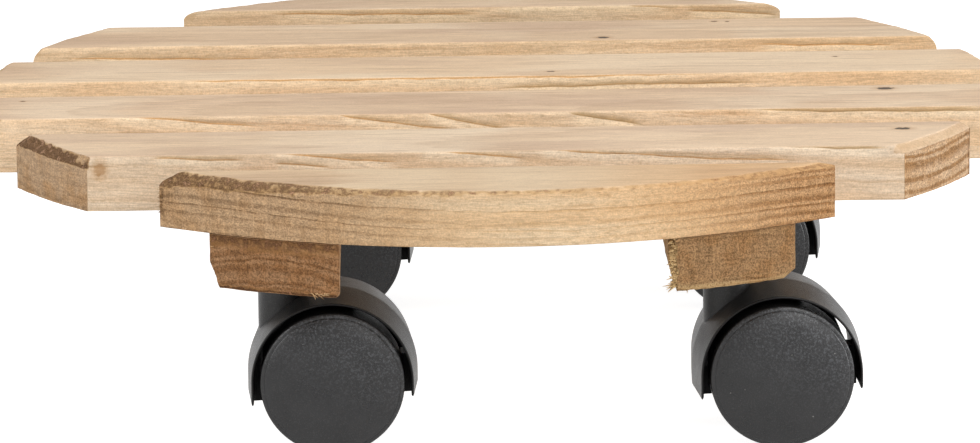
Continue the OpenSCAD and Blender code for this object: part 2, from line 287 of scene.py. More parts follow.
# Angle and how dark the wear is.
RIM_DARK = np.array([
    (-180, 0.2), (-158, 0.2), (-152, 1.0), (-140, 0.95), (-125, 0.72), (-112, 0.66), (-105, 0.58),
    (-98, 0.52), (-88, 0.46), (-72, 0.36), (-58, 0.48), (-50, 0.48), (-38, 0.28), (-25, 0.25),
    (0, 0.2), (60, 0.2), (120, 0.3), (150, 0.3), (180, 0.4),
])
# Angle and how far the rim is rubbed as pale as the top.
RIM_PALE = np.array([(-90, 0.0), (-70, 0.3), (-52, 0.6), (-40, 0.7), (-22, 0.7), (0, 0.4), (30, 0.0)])


def round_deck(p, table):
    """The columns of a table, read off at each point's angle round the deck."""
    angle = np.degrees(np.arctan2(p[:, 1], p[:, 0]))
    return [np.interp(angle, table[:, 0], column) for column in table.T[1:]]


def press_rim(p, low_z):
    """Presses the columns of a slat down to the worn rim. With u the share of the rim's reach
    that a column lies past its start, the drop is that of a round edge, 1 - sqrt(1 - u^2), or
    of a flat one, u, times the whole drop."""
    reach, whole, flat = round_deck(p, RIM_WEAR)
    uneven = 0.88 + 0.24 * noise(p, (5, 5, 40), 3)
    u = np.clip(1 - (DECK_R - np.hypot(p[:, 0], p[:, 1])) / (reach * uneven), 0, 1)
    drop = whole * uneven * ((1 - flat) * (1 - np.sqrt(1 - u**2)) + flat * u)
    p[:, 2] = low_z + (p[:, 2] - low_z) * (DECK_TOP - drop - low_z) / (DECK_TOP - low_z)


def rim_band(p, seed):
    """1 on the worn rim, 0 away from it: within the rim's reach in from the circle and its drop
    down from the top. Noise frays the upper border, and the lower one where the rim is round."""
    reach, whole, flat = round_deck(p, RIM_WEAR)
    fray = 3.0 * (rough(p, (1.5, 1.5, 1.5), seed) - 0.5) + 1.6 * (noise(p, (7, 7, 7), seed) - 0.5)
    inwards = DECK_R - np.hypot(p[:, 0], p[:, 1]) + 0.6 * fray
    downwards = DECK_TOP - p[:, 2] + (1 - 0.85 * flat) * fray
    return ease(inwards - reach, 0.3, -0.5) * ease(downwards - whole, 0.35, -0.1 - 0.7 * (1 - flat))


print(f"rim worn by up to {RIM_WEAR[:, 2].max()} mm at {len(RIM_WEAR)} angles")

# %% [markdown]
# ## The relief of sawn wood
# A planed top is almost smooth. A sawn side has streaks along the grain, and cut fibres stand
# up as fuzz on end grain. The worn rim is pitted. A bump map alone would leave the outline of
# the board straight, so the relief is real. All of it sinks into the board, so that the board
# never grows past its true size.

# %% Sink the surface
STREAK_L, STREAK_W, FUZZ_SIZE, PIT_SIZE = 22, 2.0, 1.4, 2.6
PLANED_DEPTH, SAWN_DEPTH, FUZZ_DEPTH, TORN_DEPTH = 0.06, 0.22, 0.35, 0.9


def relief(p, masks, grain_axis, pitted, seed):
    """Depth in mm at each point: a little in streaks on the planed top, more on sawn sides,
    fuzz where end grain shows and in torn wood, and pits where it is worn."""
    size = [STREAK_L if axis == grain_axis else STREAK_W for axis in range(3)]
    streaks = rough(p, size, seed + 5)
    fuzz = rough(p, 3 * [FUZZ_SIZE], seed + 9)
    pits = ease(rough(p, 3 * [PIT_SIZE], seed + 12), 0.42, 0.7)
    side = 1 - masks["planed"]
    cut = ease(masks["end_grain"], 0.2, 0.7) * side
    sawn = PLANED_DEPTH * streaks + side * SAWN_DEPTH * streaks + FUZZ_DEPTH * cut * fuzz
    return sawn + pitted * masks["worn"] * pits + TORN_DEPTH * masks["torn"] * fuzz


print(f"relief up to {PLANED_DEPTH} mm on the tops and {PLANED_DEPTH + SAWN_DEPTH:.2f} mm on sawn sides")

# %% [markdown]
# ## The blocks of the slats
# The four inner slats are straight boards whose ends follow the circle. The two outer ones have
# the circle as their long side and run out to a thin tip at each end. All could be cut from a
# round disc with booleans, but that leaves long ragged faces that take no fine detail. Both
# kinds are the same block of points here: only the rule that turns a point's shares along,
# across and up into a place is different.

# %% Shape a slat
TIP_W = 0.15
INNER_GRID = ((1.2, 6, 14), (1.0, 3, 8), (0.75, 2.5, 7))
OUTER_GRID = ((1.0, 5, 12), (1.0, 5, 12), (0.6, 2.5, 7))


def inner_slat(name):
    """Points, quads, half sizes and middles of a slat whose ends follow the deck's circle: at
    a place y across the deck its half length is sqrt(R^2 - y^2)."""
    middle, size = middle_and_size(name)
    p, quads = board_block(size, INNER_GRID)
    y = middle[1] + p[:, 1] * size[1] / 2
    half_l = np.sqrt(DECK_R**2 - y**2)
    half = np.stack([half_l, 0 * y + size[1] / 2, 0 * y + size[2] / 2], -1)
    centre = np.array([0, middle[1], middle[2]]) + 0 * half
    return centre + p * half, quads, half, centre


def outer_slat(name):
    """The same for a slat whose long side is the arc: at a place x its width is the arc's
    height over the chord, sqrt(R^2 - x^2) less the chord's distance, and it ends in a tip."""
    middle, size = middle_and_size(name)
    chord = min(abs(corner[1]) for corner in node_box(name))
    half_chord = math.sqrt(DECK_R**2 - (chord + TIP_W) ** 2)
    p, quads = board_block((2 * half_chord, size[1], size[2]), OUTER_GRID)
    x = DECK_R * np.sin(p[:, 0] * math.asin(half_chord / DECK_R))
    arc = np.sqrt(DECK_R**2 - x**2)
    half = np.stack([0 * x + half_chord, (arc - chord) / 2, 0 * x + size[2] / 2], -1)
    centre = np.stack([0 * x, np.sign(middle[1]) * (arc + chord) / 2, 0 * x + middle[2]], -1)
    place = centre + p * half
    place[:, 0] = x
    return place, quads, half, centre


print("points on an inner and an outer slat:", len(inner_slat(SLATS[1])[0]), len(outer_slat(SLATS[0])[0]))

# %% [markdown]
# ## Wear on a slat
# The long edges are worn rounder than the rest, and unevenly. After the edges the rim is pressed
# down, and then every point gets its masks and sinks by its relief. It could be sculpted by
# hand, but then a new size of deck would need it done again.

# %% Wear a slat
LESSER = 0.25


def wear_inner_slat(p, half, edge):
    """Rounds a straight board's long edges, its upright ones and, less, its lower ones."""
    round_edge(p, half, 1, 2, edge, 1)
    round_edge(p, half, 1, 2, LESSER * edge, -1)
    round_edge(p, half, 0, 2, LESSER * edge, -1)
    round_edge(p, half, 0, 1, LESSER * edge)


def wear_outer_slat(p, half, edge, arc_side):
    """Rounds the chord's edges and the lower edge of the arc, never by more than the narrow
    tips can give."""
    on_chord = p[:, 1] * arc_side < 0
    most = 0.8 * half[:, 1]
    round_edge(p, half, 1, 2, np.where(on_chord, np.minimum(edge, most), 0.01), 1)
    round_edge(p, half, 1, 2, np.minimum(LESSER * edge, most), -1)


def slat_surface(name, grain_turn, seed):
    """A slat's points, quads and masks. Grain_turn is how far, in degrees, its grain is turned
    from the board's length, which darkens one end of a curved side more than the other. The
    thin tips of an outer slat get no relief."""
    outer = name in (SLATS[0], SLATS[-1])
    p, quads, half, centre = outer_slat(name) if outer else inner_slat(name)
    edge = uneven_round(p, (9, 9, 30), seed)
    p -= centre
    if outer:
        wear_outer_slat(p, half, edge, np.sign(centre[0, 1]))
    else:
        wear_inner_slat(p, half, edge)
    p += centre
    press_rim(p, node_box(name)[0][2])
    normal = outward(p, quads)
    turn = math.radians(grain_turn)
    end_grain = np.abs(normal @ [math.cos(turn), math.sin(turn), 0])
    if name == SLATS[0]:
        end_grain = np.maximum(end_grain, ease(half[:, 0] - p[:, 0], 1.2, 0.5))
    band = rim_band(p, seed)
    masks = {
        "end_grain": end_grain,
        "planed": np.maximum(ease(normal[:, 2], 0.75, 0.97), band * round_deck(p, RIM_PALE)[0]),
        "worn": band * round_deck(p, RIM_DARK)[0],
        "torn": np.zeros(len(p)),
    }
    depth = relief(p, masks, 0, 0.55, seed) * ease(half[:, 1], 0.3, 3.0)
    return p - normal * depth[:, None], quads, masks


print(f"the lesser edges are rounded by about {LESSER * EDGE_ROUND:.2f} mm")

# %% [markdown]
# ## The blocks of the battens
# A batten lies across under the slats, so its grain runs front to back and its sawn ends are
# full end grain. It is the same block again, with its ends on the deck's circle.

# %% Shape a batten
BATTEN_GRID = ((1.3, 5, 11), (1.0, 4, 9), (0.6, 2.5, 7))


def batten_block(name):
    """Points, quads, half sizes and middles of a batten: its half length is sqrt(R^2 - x^2).
    Along runs towards +Y and across towards -X, so that its faces still look outwards."""
    middle, size = middle_and_size(name)
    p, quads = board_block((size[1], size[0], size[2]), BATTEN_GRID)
    along, across, up = p.T
    x = middle[0] - across * size[0] / 2
    half = np.stack([0 * x + size[0] / 2, np.sqrt(DECK_R**2 - x**2), 0 * x + size[2] / 2], -1)
    centre = np.array([middle[0], 0, middle[2]]) + 0 * half
    return centre + np.stack([-across, along, up], -1) * half, quads, half, centre


print(f"a batten has {len(batten_block('left_batten')[0])} points")

# %% [markdown]
# ## Broken batten ends
# The front ends are the ones seen. The left one has lost its lower outer corner to wane, the
# rounded edge that was once the outside of the tree; the right one has a torn edge, pale where
# the fresh wood shows. Each break is a plane laid across a corner, with noise in its depth.

# %% Break the battens
def front_corner(x, z):
    """The point of the deck's circle in front at this x, at height z."""
    return np.array([x, -math.sqrt(DECK_R**2 - x**2), z])


def break_left_batten(p, low, high, seed):
    """Wane on the lower outer edge: a steep plane takes off 3 mm at the bottom, runs out 10 mm
    up, and fades away along the batten. A small chip leaves the lower inner corner. Returns
    how torn each point is."""
    wobble = 0.9 * (rough(p, (3, 9, 3), seed) - 0.5)
    wane = 2.8 * ease(p[:, 1], -55, -125)
    plane_off(p, front_corner(low[0], low[2]), (-0.94, 0, -0.34), wane + wobble - 0.2)
    chip = plane_off(p, front_corner(high[0], low[2]), (0.7, -0.35, -0.62), 1.3 + 1.6 * wobble)
    return ease(chip, 0.2, 1.2)


def break_right_batten(p, low, high, seed):
    """The front left edge is torn: an upright plane takes off about 2 mm, very unevenly. Both
    lower long edges are waned by 2 mm, and pale layers of wood come out along the bottom.
    Returns how torn each point is."""
    tear = 2.4 * (rough(p, (2.6, 2.6, 2.2), seed) - 0.5)
    torn = plane_off(p, front_corner(low[0], low[2]), (-0.72, -0.69, 0), 2.2 + tear)
    wobble = 0.5 * (rough(p, (3, 12, 3), seed + 3) - 0.5)
    plane_off(p, front_corner(high[0], low[2]), (0.62, 0, -0.78), 1.9 * ease(p[:, 1], -40, -125) + wobble)
    plane_off(p, front_corner(low[0], low[2]), (-0.96, 0, -0.28), 2.1 * ease(p[:, 1], 20, -60) + wobble)
    layers = ease(rough(p, (14, 14, 0.7), seed + 6), 0.35, 0.65) * ease(p[:, 2] - low[2], 2.7, 2.1)
    return np.maximum(ease(torn, 0.1, 0.7), 0.45 * layers)


BREAKS = {"left_batten": break_left_batten, "right_batten": break_right_batten}
print("broken ends:", ", ".join(BREAKS))

# %% [markdown]
# ## Wear on a batten
# Edges first, then the breaks, then masks and relief, as on a slat. The sawn front ends are
# darker along the upper edge, under the slats, and along the lower edge.

# %% Wear a batten
# How much darker the sawn front ends are along the upper edge, under the slats, and along the lower edge.
EDGE_DARKENING = {"left_batten": (0.66, 0.85), "right_batten": (0.15, 0.5)}


def batten_surface(name, seed):
    """A batten's points, quads and masks, with rounded edges, its own breaks and its relief.
    Its edge darkening says how dark the front end is along its upper and its lower edge."""
    p, quads, half, centre = batten_block(name)
    low, high = node_box(name)
    edge = uneven_round(p, (9, 30, 9), seed)
    p -= centre
    round_edge(p, half, 0, 2, edge, -1)
    round_edge(p, half, 0, 2, 0.2 * edge, 1)
    round_edge(p, half, 1, 2, 0.8 * edge, -1)
    round_edge(p, half, 1, 0, 0.7 * edge)
    p += centre
    torn = BREAKS[name](p, low, high, seed)
    normal = outward(p, quads)
    fray = 1.6 * (rough(p, (1.8, 1.8, 1.2), seed + 4) - 0.5)
    above, below = high[2] - p[:, 2] + fray, p[:, 2] - low[2] + 0.7 * fray
    # Darker along the upper edge, under the slats, and along the lower edge of the front end; laid in the
    # worn mask.
    edge_dark = EDGE_DARKENING[name][0] * ease(above, 5.5, 1.0) + EDGE_DARKENING[name][1] * ease(below, 1.8, 0.5)
    worn = edge_dark * ease(-normal[:, 1], 0.2, 0.6)
    masks = {"end_grain": np.abs(normal[:, 1]), "planed": 0 * torn, "worn": worn, "torn": torn}
    return p - normal * relief(p, masks, 1, 0.1, seed)[:, None], quads, masks


print("dirt at the upper and lower edge:", EDGE_DARKENING)

# %% [markdown]
# ## Splinters
# Cut fibres that did not break off stand out as thin slivers. A hair system would grow them
# anywhere; these few grow where the saw tore the wood, so each is built. It is a five-sided
# needle carried along a slightly bent line from its root, inside the wood, to its tip. All the
# slivers of a board are worked out together and become part of that board's mesh.

# %% Grow slivers from the wood
SIDES, STEPS, FLATNESS, BEND = 5, 7, 0.45, 0.16


def slivers(roots, way, spread, length, thick, seed):
    """Needles from each root. The centre line is root + s * length * way plus a bend that grows
    with s squared; the radius shrinks with the square root of 1 - s."""
    rng = np.random.default_rng(seed)
    ways = np.array(way, float) + rng.normal(0, spread, roots.shape)
    ways /= np.linalg.norm(ways, axis=1)[:, None]
    lengths = (length * rng.uniform(0.4, 1.0, len(roots)))[:, None, None]
    s = np.linspace(0, 1, STEPS)[None, :, None]
    line = roots[:, None] + lengths * (s * ways[:, None] + s**2 * rng.normal(0, BEND, ways.shape)[:, None])
    side = np.cross(ways, [0.3, 0.2, 0.93])
    side /= np.linalg.norm(side, axis=1)[:, None]
    other = np.cross(ways, side)
    turn = np.linspace(0, 2 * np.pi, SIDES, endpoint=False)[None, None, :, None]
    radius = (thick * rng.uniform(0.6, 1.3, len(roots)))[:, None, None, None] * np.sqrt(1.02 - s)[..., None]
    ring = np.cos(turn) * side[:, None, None] + FLATNESS * np.sin(turn) * other[:, None, None]
    points = line[:, :, None] + radius * ring
    number = np.arange(points[..., 0].size).reshape(points.shape[:3])
    after = np.roll(number, -1, axis=2)
    quads = np.stack([number[:, :-1], after[:, :-1], after[:, 1:], number[:, 1:]], -1).reshape(-1, 4)
    return points.reshape(-1, 3), [quads, number[:, 0, ::-1], number[:, -1]]


def root_line(start, end, count, stray, seed):
    """Random roots along a straight edge, up to stray mm off it."""
    rng = np.random.default_rng(seed)
    start, end = np.array(start), np.array(end)
    share = rng.uniform(0, 1, (count, 1))
    return start + share * (end - start) + rng.uniform(-stray, stray, (count, 3))


def root_arc(start, end, height, count, stray, seed):
    """Random roots on the deck's rim between two angles in degrees, 0.6 mm inside it."""
    rng = np.random.default_rng(seed)
    angle = np.radians(rng.uniform(start, end, count))
    radius = DECK_R - 0.6 - rng.uniform(0, stray, count)
    z = height + rng.uniform(-stray, stray, count)
    return np.stack([radius * np.cos(angle), radius * np.sin(angle), z], -1)


print(f"a sliver has {SIDES * STEPS} points")

# %% [markdown]
# ## Where the slivers grow
# The saw left fibres standing on the front slats and at the batten ends. They could be scattered
# by a mask, but each tuft has its own direction and length, so a table gives them one by one.

# %% Place the tufts
# A tuft on an edge: two ends, number and stray of its roots and their seed; then the slivers'
# direction, its spread, their length and thickness in mm, and their seed. A tuft on the rim has
# two angles and a height in place of the ends.
ON_EDGE = {
    "slat_1": [((-91.2, -117.4, 73), (-91.2, -117.4, 80), 45, 0.3, 31, (-1, -0.2, -0.1), 0.35, 1.5, 0.17, 1)],
    "left_batten": [
        ((-51.5, -138.9, 54.9), (-47, -140.3, 54.9), 18, 0.35, 41, (0.9, -0.6, -0.1), 0.3, 1.9, 0.34, 4),
        ((-77.4, -126.6, 65), (-77.4, -126.6, 66), 2, 0.2, 42, (-1, -0.3, 0.0), 0.2, 1.9, 0.14, 5),
    ],
    "right_batten": [
        ((47.4, -138.8, 55.4), (46.8, -138.8, 68), 80, 0.7, 43, (-0.7, -0.7, -0.1), 0.3, 1.6, 0.6, 6),
        ((47.8, -138.9, 55), (47.2, -138.9, 58.5), 12, 0.4, 44, (-1, -0.3, -0.15), 0.2, 3.6, 0.6, 7),
        ((48.6, -138.6, 54.9), (52, -137.6, 54.9), 6, 0.3, 45, (-0.4, -0.6, -0.6), 0.3, 1.4, 0.4, 8),
    ],
}
ON_RIM = {
    "slat_1": [(-127, -104, 81.6, 150, 0.7, 32, (-0.3, -0.7, 0.1), 0.5, 1.3, 0.09, 2)],
    "slat_2": [(-149, -140, 81.4, 50, 0.6, 33, (-0.8, -0.5, 0.1), 0.4, 1.2, 0.09, 3)],
}


def tufts(name):
    """All slivers of a board: five values place the roots on an edge, six on the rim."""
    on_edge = [slivers(root_line(*row[:5]), *row[5:]) for row in ON_EDGE.get(name, ())]
    return on_edge + [slivers(root_arc(*row[:6]), *row[6:]) for row in ON_RIM.get(name, ())]


print("boards with slivers:", ", ".join(sorted({*ON_EDGE, *ON_RIM})))

# %% [markdown]
# ## The deck's eight boards
# Now the six slats and two battens are made. Each has its own seed and turn of grain, and gets
# its slivers. Old ones are dark as the rim is, and the battens' are fresh. A board and its
# slivers could be two pieces; as one mesh they share one material.

# %% Make the boards
def board_piece(name, surface, needles, fresh):
    """A board's skin and its slivers as one piece on the deck. Fresh slivers count as torn
    wood and old ones as worn."""
    p, quads, masks = surface
    points, faces = join_shells([(p, [quads]), *needles])
    added = len(points) - len(p)
    on_sliver = {"end_grain": 1.0, "planed": 0.0, "worn": 0.6 * (1 - fresh), "torn": fresh}
    masks = {label: np.append(masks[label], np.full(added, value)) for label, value in on_sliver.items()}
    return make_piece(name + "_wood", "deck", points, faces, name, masks)


GRAIN_TURN = [7, 5, 0, 0, 3, -4]
slat_pieces = [
    board_piece(name, slat_surface(name, turn, 100 + 20 * n), tufts(name), 0.0)
    for n, (name, turn) in enumerate(zip(SLATS, GRAIN_TURN))
]
batten_pieces = [
    board_piece(name, batten_surface(name, seed), tufts(name), 1.0)
    for name, seed in (("left_batten", 300), ("right_batten", 340))
]

# %% [markdown]
# ## Turned shapes
# A wheel and the round parts of a hood are profiles turned about an axis. A profile is a short
# list of corners, each with the length that is rounded off it. The Spin tool and a Bevel
# modifier would give the same, with less say over each corner. Here the corner becomes a
# parabola that touches both sides, which looks like the small radius of a moulding tool.

# %% Turn a profile about an axis
def soften(corners, closed):
    """Profile with rounded corners. For each corner c with points a and b at its rounding's
    length along both sides, the curve is (1-t)^2 a + 2t(1-t) c + t^2 b."""
    corners = np.array(corners, float)
    c, length = corners[:, :2], corners[:, 2:]
    before, after = np.roll(c, 1, axis=0) - c, np.roll(c, -1, axis=0) - c
    a = c + before / np.linalg.norm(before, axis=1)[:, None] * length
    b = c + after / np.linalg.norm(after, axis=1)[:, None] * length
    t = np.linspace(0, 1, 6)[None, :, None]
    curve = ((1 - t) ** 2 * a[:, None] + 2 * t * (1 - t) * c[:, None] + t**2 * b[:, None]).reshape(-1, 2)
    return np.vstack([curve, curve[:1]]) if closed else curve


def revolve(profile, segments):
    """Turns a profile of (radius, height) about the Z axis. The profile runs with the solid on
    its left, so the quads look outwards."""
    angle = np.linspace(0, 2 * np.pi, segments, endpoint=False)
    r, h = profile[:, :1], profile[:, 1:]
    points = np.stack([r * np.cos(angle), r * np.sin(angle), h + 0 * angle], -1)
    number = np.arange(points[..., 0].size).reshape(len(profile), segments)
    after = np.roll(number, -1, axis=1)
    quads = np.stack([number[:-1], after[:-1], after[1:], number[1:]], -1).reshape(-1, 4)
    return points.reshape(-1, 3), quads


def weld(points, quads):
    """Merges points that share a place, so that seams and poles close. A quad with one pair of
    merged corners becomes a triangle, and one with more is left out."""
    grid = np.round(points * 1e4).astype(np.int64)
    _, first, number = np.unique(grid, axis=0, return_index=True, return_inverse=True)
    quads = number.reshape(-1)[quads]
    merged = quads == np.roll(quads, -1, axis=1)
    thin = merged.sum(axis=1) == 1
    triangles = quads[thin][~merged[thin]].reshape(-1, 3)
    return points[first], [quads[~merged.any(axis=1)], triangles]


washer = soften([(2, 0, 0.1), (4, 0, 0.1), (4, 1, 0.1), (2, 1, 0.1)], True)
print("a washer with four softened corners is a profile of", len(washer), "points")

# %% [markdown]
# ## A wheel
# Each wheel is one moulding: a drum that is closed on its outer side, with a hub and ribs inside
# and a bore that snaps on the axle. The outer face is domed, most of all near its edge, and
# stands inside a fine groove, which gives the thin line there. A cylinder with bevels would have
# neither, so the drum is a turned profile. It is turned about its own axle and then laid along
# the caster's, front wheels one way and back wheels the other.

# %% Shape a wheel
WHEEL_R, WHEEL_W, FACE_T, TREAD_T = 20, 13.2, 2, 2
HUB_R, BORE_R, RIB_COUNT, RIB_T, RIB_SINK = 5.5, 3.05, 6, 1.5, 1.5
RIB_BITE, FACE_BITE, WHEEL_STEPS = 0.3, 0.4, 168
LAND_R, EDGE_SINK = 18.9, 1.85
# Radius, depth under the middle of the face, and rounding.
DOME = [(16.4, 0.78, 1.6), (13, 0.26, 1.6), (8.5, 0, 2.5), (0, 0, 0)]


def wheel_shells():
    """The wheel on the Z axis, its inner side at height 0: the turned drum and six ribs, which
    bite a little into hub, tread and face so that they are one body."""
    inside, tread_r, land = WHEEL_W - FACE_T, WHEEL_R - TREAD_T, WHEEL_W - EDGE_SINK
    drum = [
        (0, inside, 0), (BORE_R, inside, 0), (BORE_R, 0, 0.25), (HUB_R, 0, 0.3), (HUB_R, inside, 0.5),
        (tread_r, inside, 0.5), (tread_r, 0, 0.25), (WHEEL_R, 0, 0.4), (WHEEL_R, land - 0.3, 0.7),
        (LAND_R, land, 0.1), (LAND_R - 0.1, land - 0.07, 0.05), (LAND_R - 0.35, land + 0.22, 0.12),
        *((radius, WHEEL_W - sink, rounding) for radius, sink, rounding in DOME),
    ]
    shells = [weld(*revolve(soften(drum, False), WHEEL_STEPS))]
    p, quads = block_skin(np.linspace(0, 1, 9), np.linspace(0, 1, 3), np.linspace(0, 1, 7))
    x = HUB_R - RIB_BITE + p[:, 0] * (tread_r + 2 * RIB_BITE - HUB_R)
    y = (p[:, 1] - 0.5) * RIB_T
    z = RIB_SINK + p[:, 2] * (inside + FACE_BITE - RIB_SINK)
    for turn in 2 * math.pi * np.arange(RIB_COUNT) / RIB_COUNT:
        c, s = math.cos(turn), math.sin(turn)
        shells.append((np.stack([x * c - y * s, x * s + y * c, z], -1), [quads]))
    return shells


wheel_points, wheel_faces = join_shells(wheel_shells())
print(f"a wheel has {len(wheel_faces)} faces and is {np.ptp(wheel_points[:, 0]):.1f} mm across")

# %% [markdown]
# ## A sheet with thickness
# The hood's shell and its middle web are sheets with openings. A Solidify modifier on a cut
# sheet would do it, but a hood's wall is not equally thick all over. So a sheet is two grids of
# points, one for each side, and a mask that says which cells are there. Kept cells give a quad
# on both sides, and each edge between a kept cell and an open one gets a wall, so the sheet is
# closed whatever its outline.

# %% Build a sheet from two grids
def sheet_shell(front, back, keep):
    """Closed shell between two grids of rows x columns points. The front looks along the cross
    product of the column and row directions."""
    rows, cols = keep.shape[0] + 1, keep.shape[1] + 1
    number = np.arange(rows * cols).reshape(rows, cols)
    cells = np.stack([number[:-1, :-1], number[:-1, 1:], number[1:, 1:], number[1:, :-1]], -1)
    ring = np.pad(keep, 1)
    beside = [ring[:-2, 1:-1], ring[1:-1, 2:], ring[2:, 1:-1], ring[1:-1, :-2]]
    quads = [cells[keep], cells[keep][:, ::-1] + number.size]
    for side, there in enumerate(beside):
        edge = cells[keep & ~there]
        one, two = edge[:, side], edge[:, (side + 1) % 4]
        quads.append(np.stack([two, one, one + number.size, two + number.size], -1))
    quads = np.vstack(quads)
    used, renumbered = np.unique(quads, return_inverse=True)
    points = np.vstack([front.reshape(-1, 3), back.reshape(-1, 3)])
    return points[used], [renumbered.reshape(quads.shape)]


def cell_middles(grid):
    """The middle of each cell of a grid, from its two opposite corners."""
    return (grid[:-1, :-1] + grid[1:, 1:]) / 2


one_cell = sheet_shell(*np.zeros((2, 2, 2, 3)), np.ones((1, 1), bool))
print("a sheet of one cell has", len(one_cell[1][0]), "faces")

# %% [markdown]
# ## A hood's sizes
# The hood is one moulding in four parts that run into each other: a shell over both wheels, a
# web between them with a window in its upper corner, the upright housing of the kingpin, and a
# boss for the axle. They could be joined with booleans; left as closed shells that reach into
# each other, they keep their clean grids and look the same. The hood's lower edge is cut by a
# sloping plane.

# %% Name the hood's sizes
TRAIL, AXLE_Z = 14, 20
BORE_SHELL_R, CREASE_R, HOOD_RIM_R, HOOD_W = 21.8, 23.7, 22.5, 34
HOOD_DROP, DROP_SLOPE, WEB_T, WEB_DROP = 5.4, math.radians(2.8), 7, 1.7
HOUSING_R, HOUSING_TOP, PIN_BORE_R, PIN_BORE_Z = 6.5, 50.4, 4.05, 28
BOSS_R, BOSS_HALF, AXLE_BORE_R = 6, 7, 3.02
HOUSING_STEPS, BOSS_STEPS = 96, 72
WINDOW_R, WINDOW_SILL, WINDOW_SIDE = 14, 4.9, 7
LIP, TIP_ROUND, CREASE_SOFT, SHELL_BITE = 0.3, 0.9, 0.4, 0.3
BORE_EDGE = 0.5 * (HOUSING_R + PIN_BORE_R)


def cut_height(x, further=0):
    """Height of the lower edge's plane at a distance x from the swivel axis."""
    return AXLE_Z - HOOD_DROP - further + math.tan(DROP_SLOPE) * (x - TRAIL)


print(f"the hood ends {cut_height(TRAIL):.1f} mm over the floor")

# %% [markdown]
# ## The hood's shell
# The shell is two shallow cones that meet in a soft crease, and goes on as two straight legs
# under the height of the axle. It is a hoop carried along the axle: its radius falls from the
# crease to both rims, and near an end of a leg its wall thins to a round tip.

# %% Shape the shell
HOOP_STEPS = 141
LEG_UP = 1 - np.cos(np.linspace(0, np.pi / 2, 14)[:-1, None])


def hoop(r, w, low_right, low_left):
    """Places along a hoop of radius r at w along the axle: up the right leg, over in a half
    circle, and down the left leg. The radius may differ from column to column."""
    up, angle = LEG_UP, np.linspace(0, np.pi, HOOP_STEPS)[:, None]
    x = np.vstack([r + 0 * up, r * np.cos(angle), -r + 0 * up])
    right_leg = low_right + up * (AXLE_Z - low_right)
    left_leg = low_left + up[::-1] * (AXLE_Z - low_left)
    z = np.vstack([right_leg, AXLE_Z + r * np.sin(angle), left_leg])
    return np.stack([TRAIL + x, w + 0 * x, z], -1)


def bend_in(w, length):
    """How far a quarter circle of this radius, laid in the rim's corner, drops at w."""
    over = np.clip(np.abs(w) - (HOOD_W / 2 - length), 0, length)
    return length - np.sqrt(length**2 - over**2)


def hood_shell():
    """The curved cover. Its outer radius falls from the crease to both rims, the last LIP mm
    round over, and the legs' corners and ends are rounded: near an end the thickness shrinks
    with sqrt(1 - u^2). It is left out inside the housing's bore."""
    rim = HOOD_W / 2
    lip_w = LIP * (1 - np.cos(np.linspace(0, np.pi / 2, 6))) - rim
    w = np.concatenate([lip_w, np.linspace(0.8 - rim, -2 * CREASE_SOFT, 16), [-CREASE_SOFT, 0]])
    w = np.concatenate([w, -w[-2::-1]])[None, :]
    slope = (np.hypot(w, CREASE_SOFT) - CREASE_SOFT) / (rim - CREASE_SOFT)
    outer = CREASE_R - (CREASE_R - HOOD_RIM_R) * slope
    lip, lift = bend_in(w, LIP), bend_in(w, TIP_ROUND)
    front, back = (
        hoop(r, w, cut_height(TRAIL + r) + lift, cut_height(TRAIL - r) + lift)
        for r in (outer - lip, BORE_SHELL_R + lip)
    )
    near_end = np.clip(1 - LEG_UP * HOOD_DROP / TIP_ROUND, 0, 0.97)
    thinned = np.sqrt(1 - near_end**2)
    kept = np.vstack([thinned, np.ones((HOOP_STEPS, 1)), thinned[::-1]])[..., None]
    core = (front + back) / 2
    front, back = core + kept * (front - core), core + kept * (back - core)
    middle = cell_middles(front)
    return sheet_shell(front, back, np.hypot(middle[..., 0], middle[..., 1]) > BORE_EDGE)


print("the shell has", len(hood_shell()[0]), "points")

# %% [markdown]
# ## The hood's web
# The web is a flat plate. A plate with a window and a bore cut in it has edges that a square
# grid would step along, so its cells run in rings about the axle instead, and its columns
# follow the window's sides. Under the axle's height a plain grid goes on to the web's own cut.

# %% Shape the web
SILL_CELLS, WINDOW_CELLS, LEFT_CELLS = 8, 12, 24


def plate(x, z):
    """Front and back grid of a flat plate, as thick as the web, over these places."""
    return [np.stack([x + 0 * z, y + 0 * x + 0 * z, z + 0 * x], -1) for y in (WEB_T / 2, -WEB_T / 2)]


def hood_web():
    """The upper half of the plate between the wheels, in polar cells about the axle. Its
    columns run to the window, across the window, and on to the left."""
    near = np.linspace(BOSS_R - 1, WINDOW_R, 9)
    far = np.linspace(WINDOW_R + 0.8, BORE_SHELL_R + SHELL_BITE, 10)
    r = np.concatenate([near, far])[:, None]
    bound = np.maximum(r, WINDOW_R)
    sill, side = np.arcsin(WINDOW_SILL / bound), np.arccos(WINDOW_SIDE / bound)
    to_sill, over, left = (
        np.linspace(0, 1, cells + 1)[None, 1:] for cells in (SILL_CELLS, WINDOW_CELLS, LEFT_CELLS)
    )
    angle = np.hstack([0 * sill, to_sill * sill, sill + over * (side - sill), side + left * (math.pi - side)])
    front, back = plate(TRAIL + r * np.cos(angle), AXLE_Z + r * np.sin(angle))
    middle = cell_middles(front)
    column = np.arange(angle.shape[1] - 1)[None, :] - SILL_CELLS
    window = (r[1:] > WINDOW_R + 0.1) & (column >= 0) & (column < WINDOW_CELLS)
    bore = (np.abs(middle[..., 0]) < BORE_EDGE) & (middle[..., 2] > PIN_BORE_Z + 1)
    return sheet_shell(front, back, ~window & ~bore)


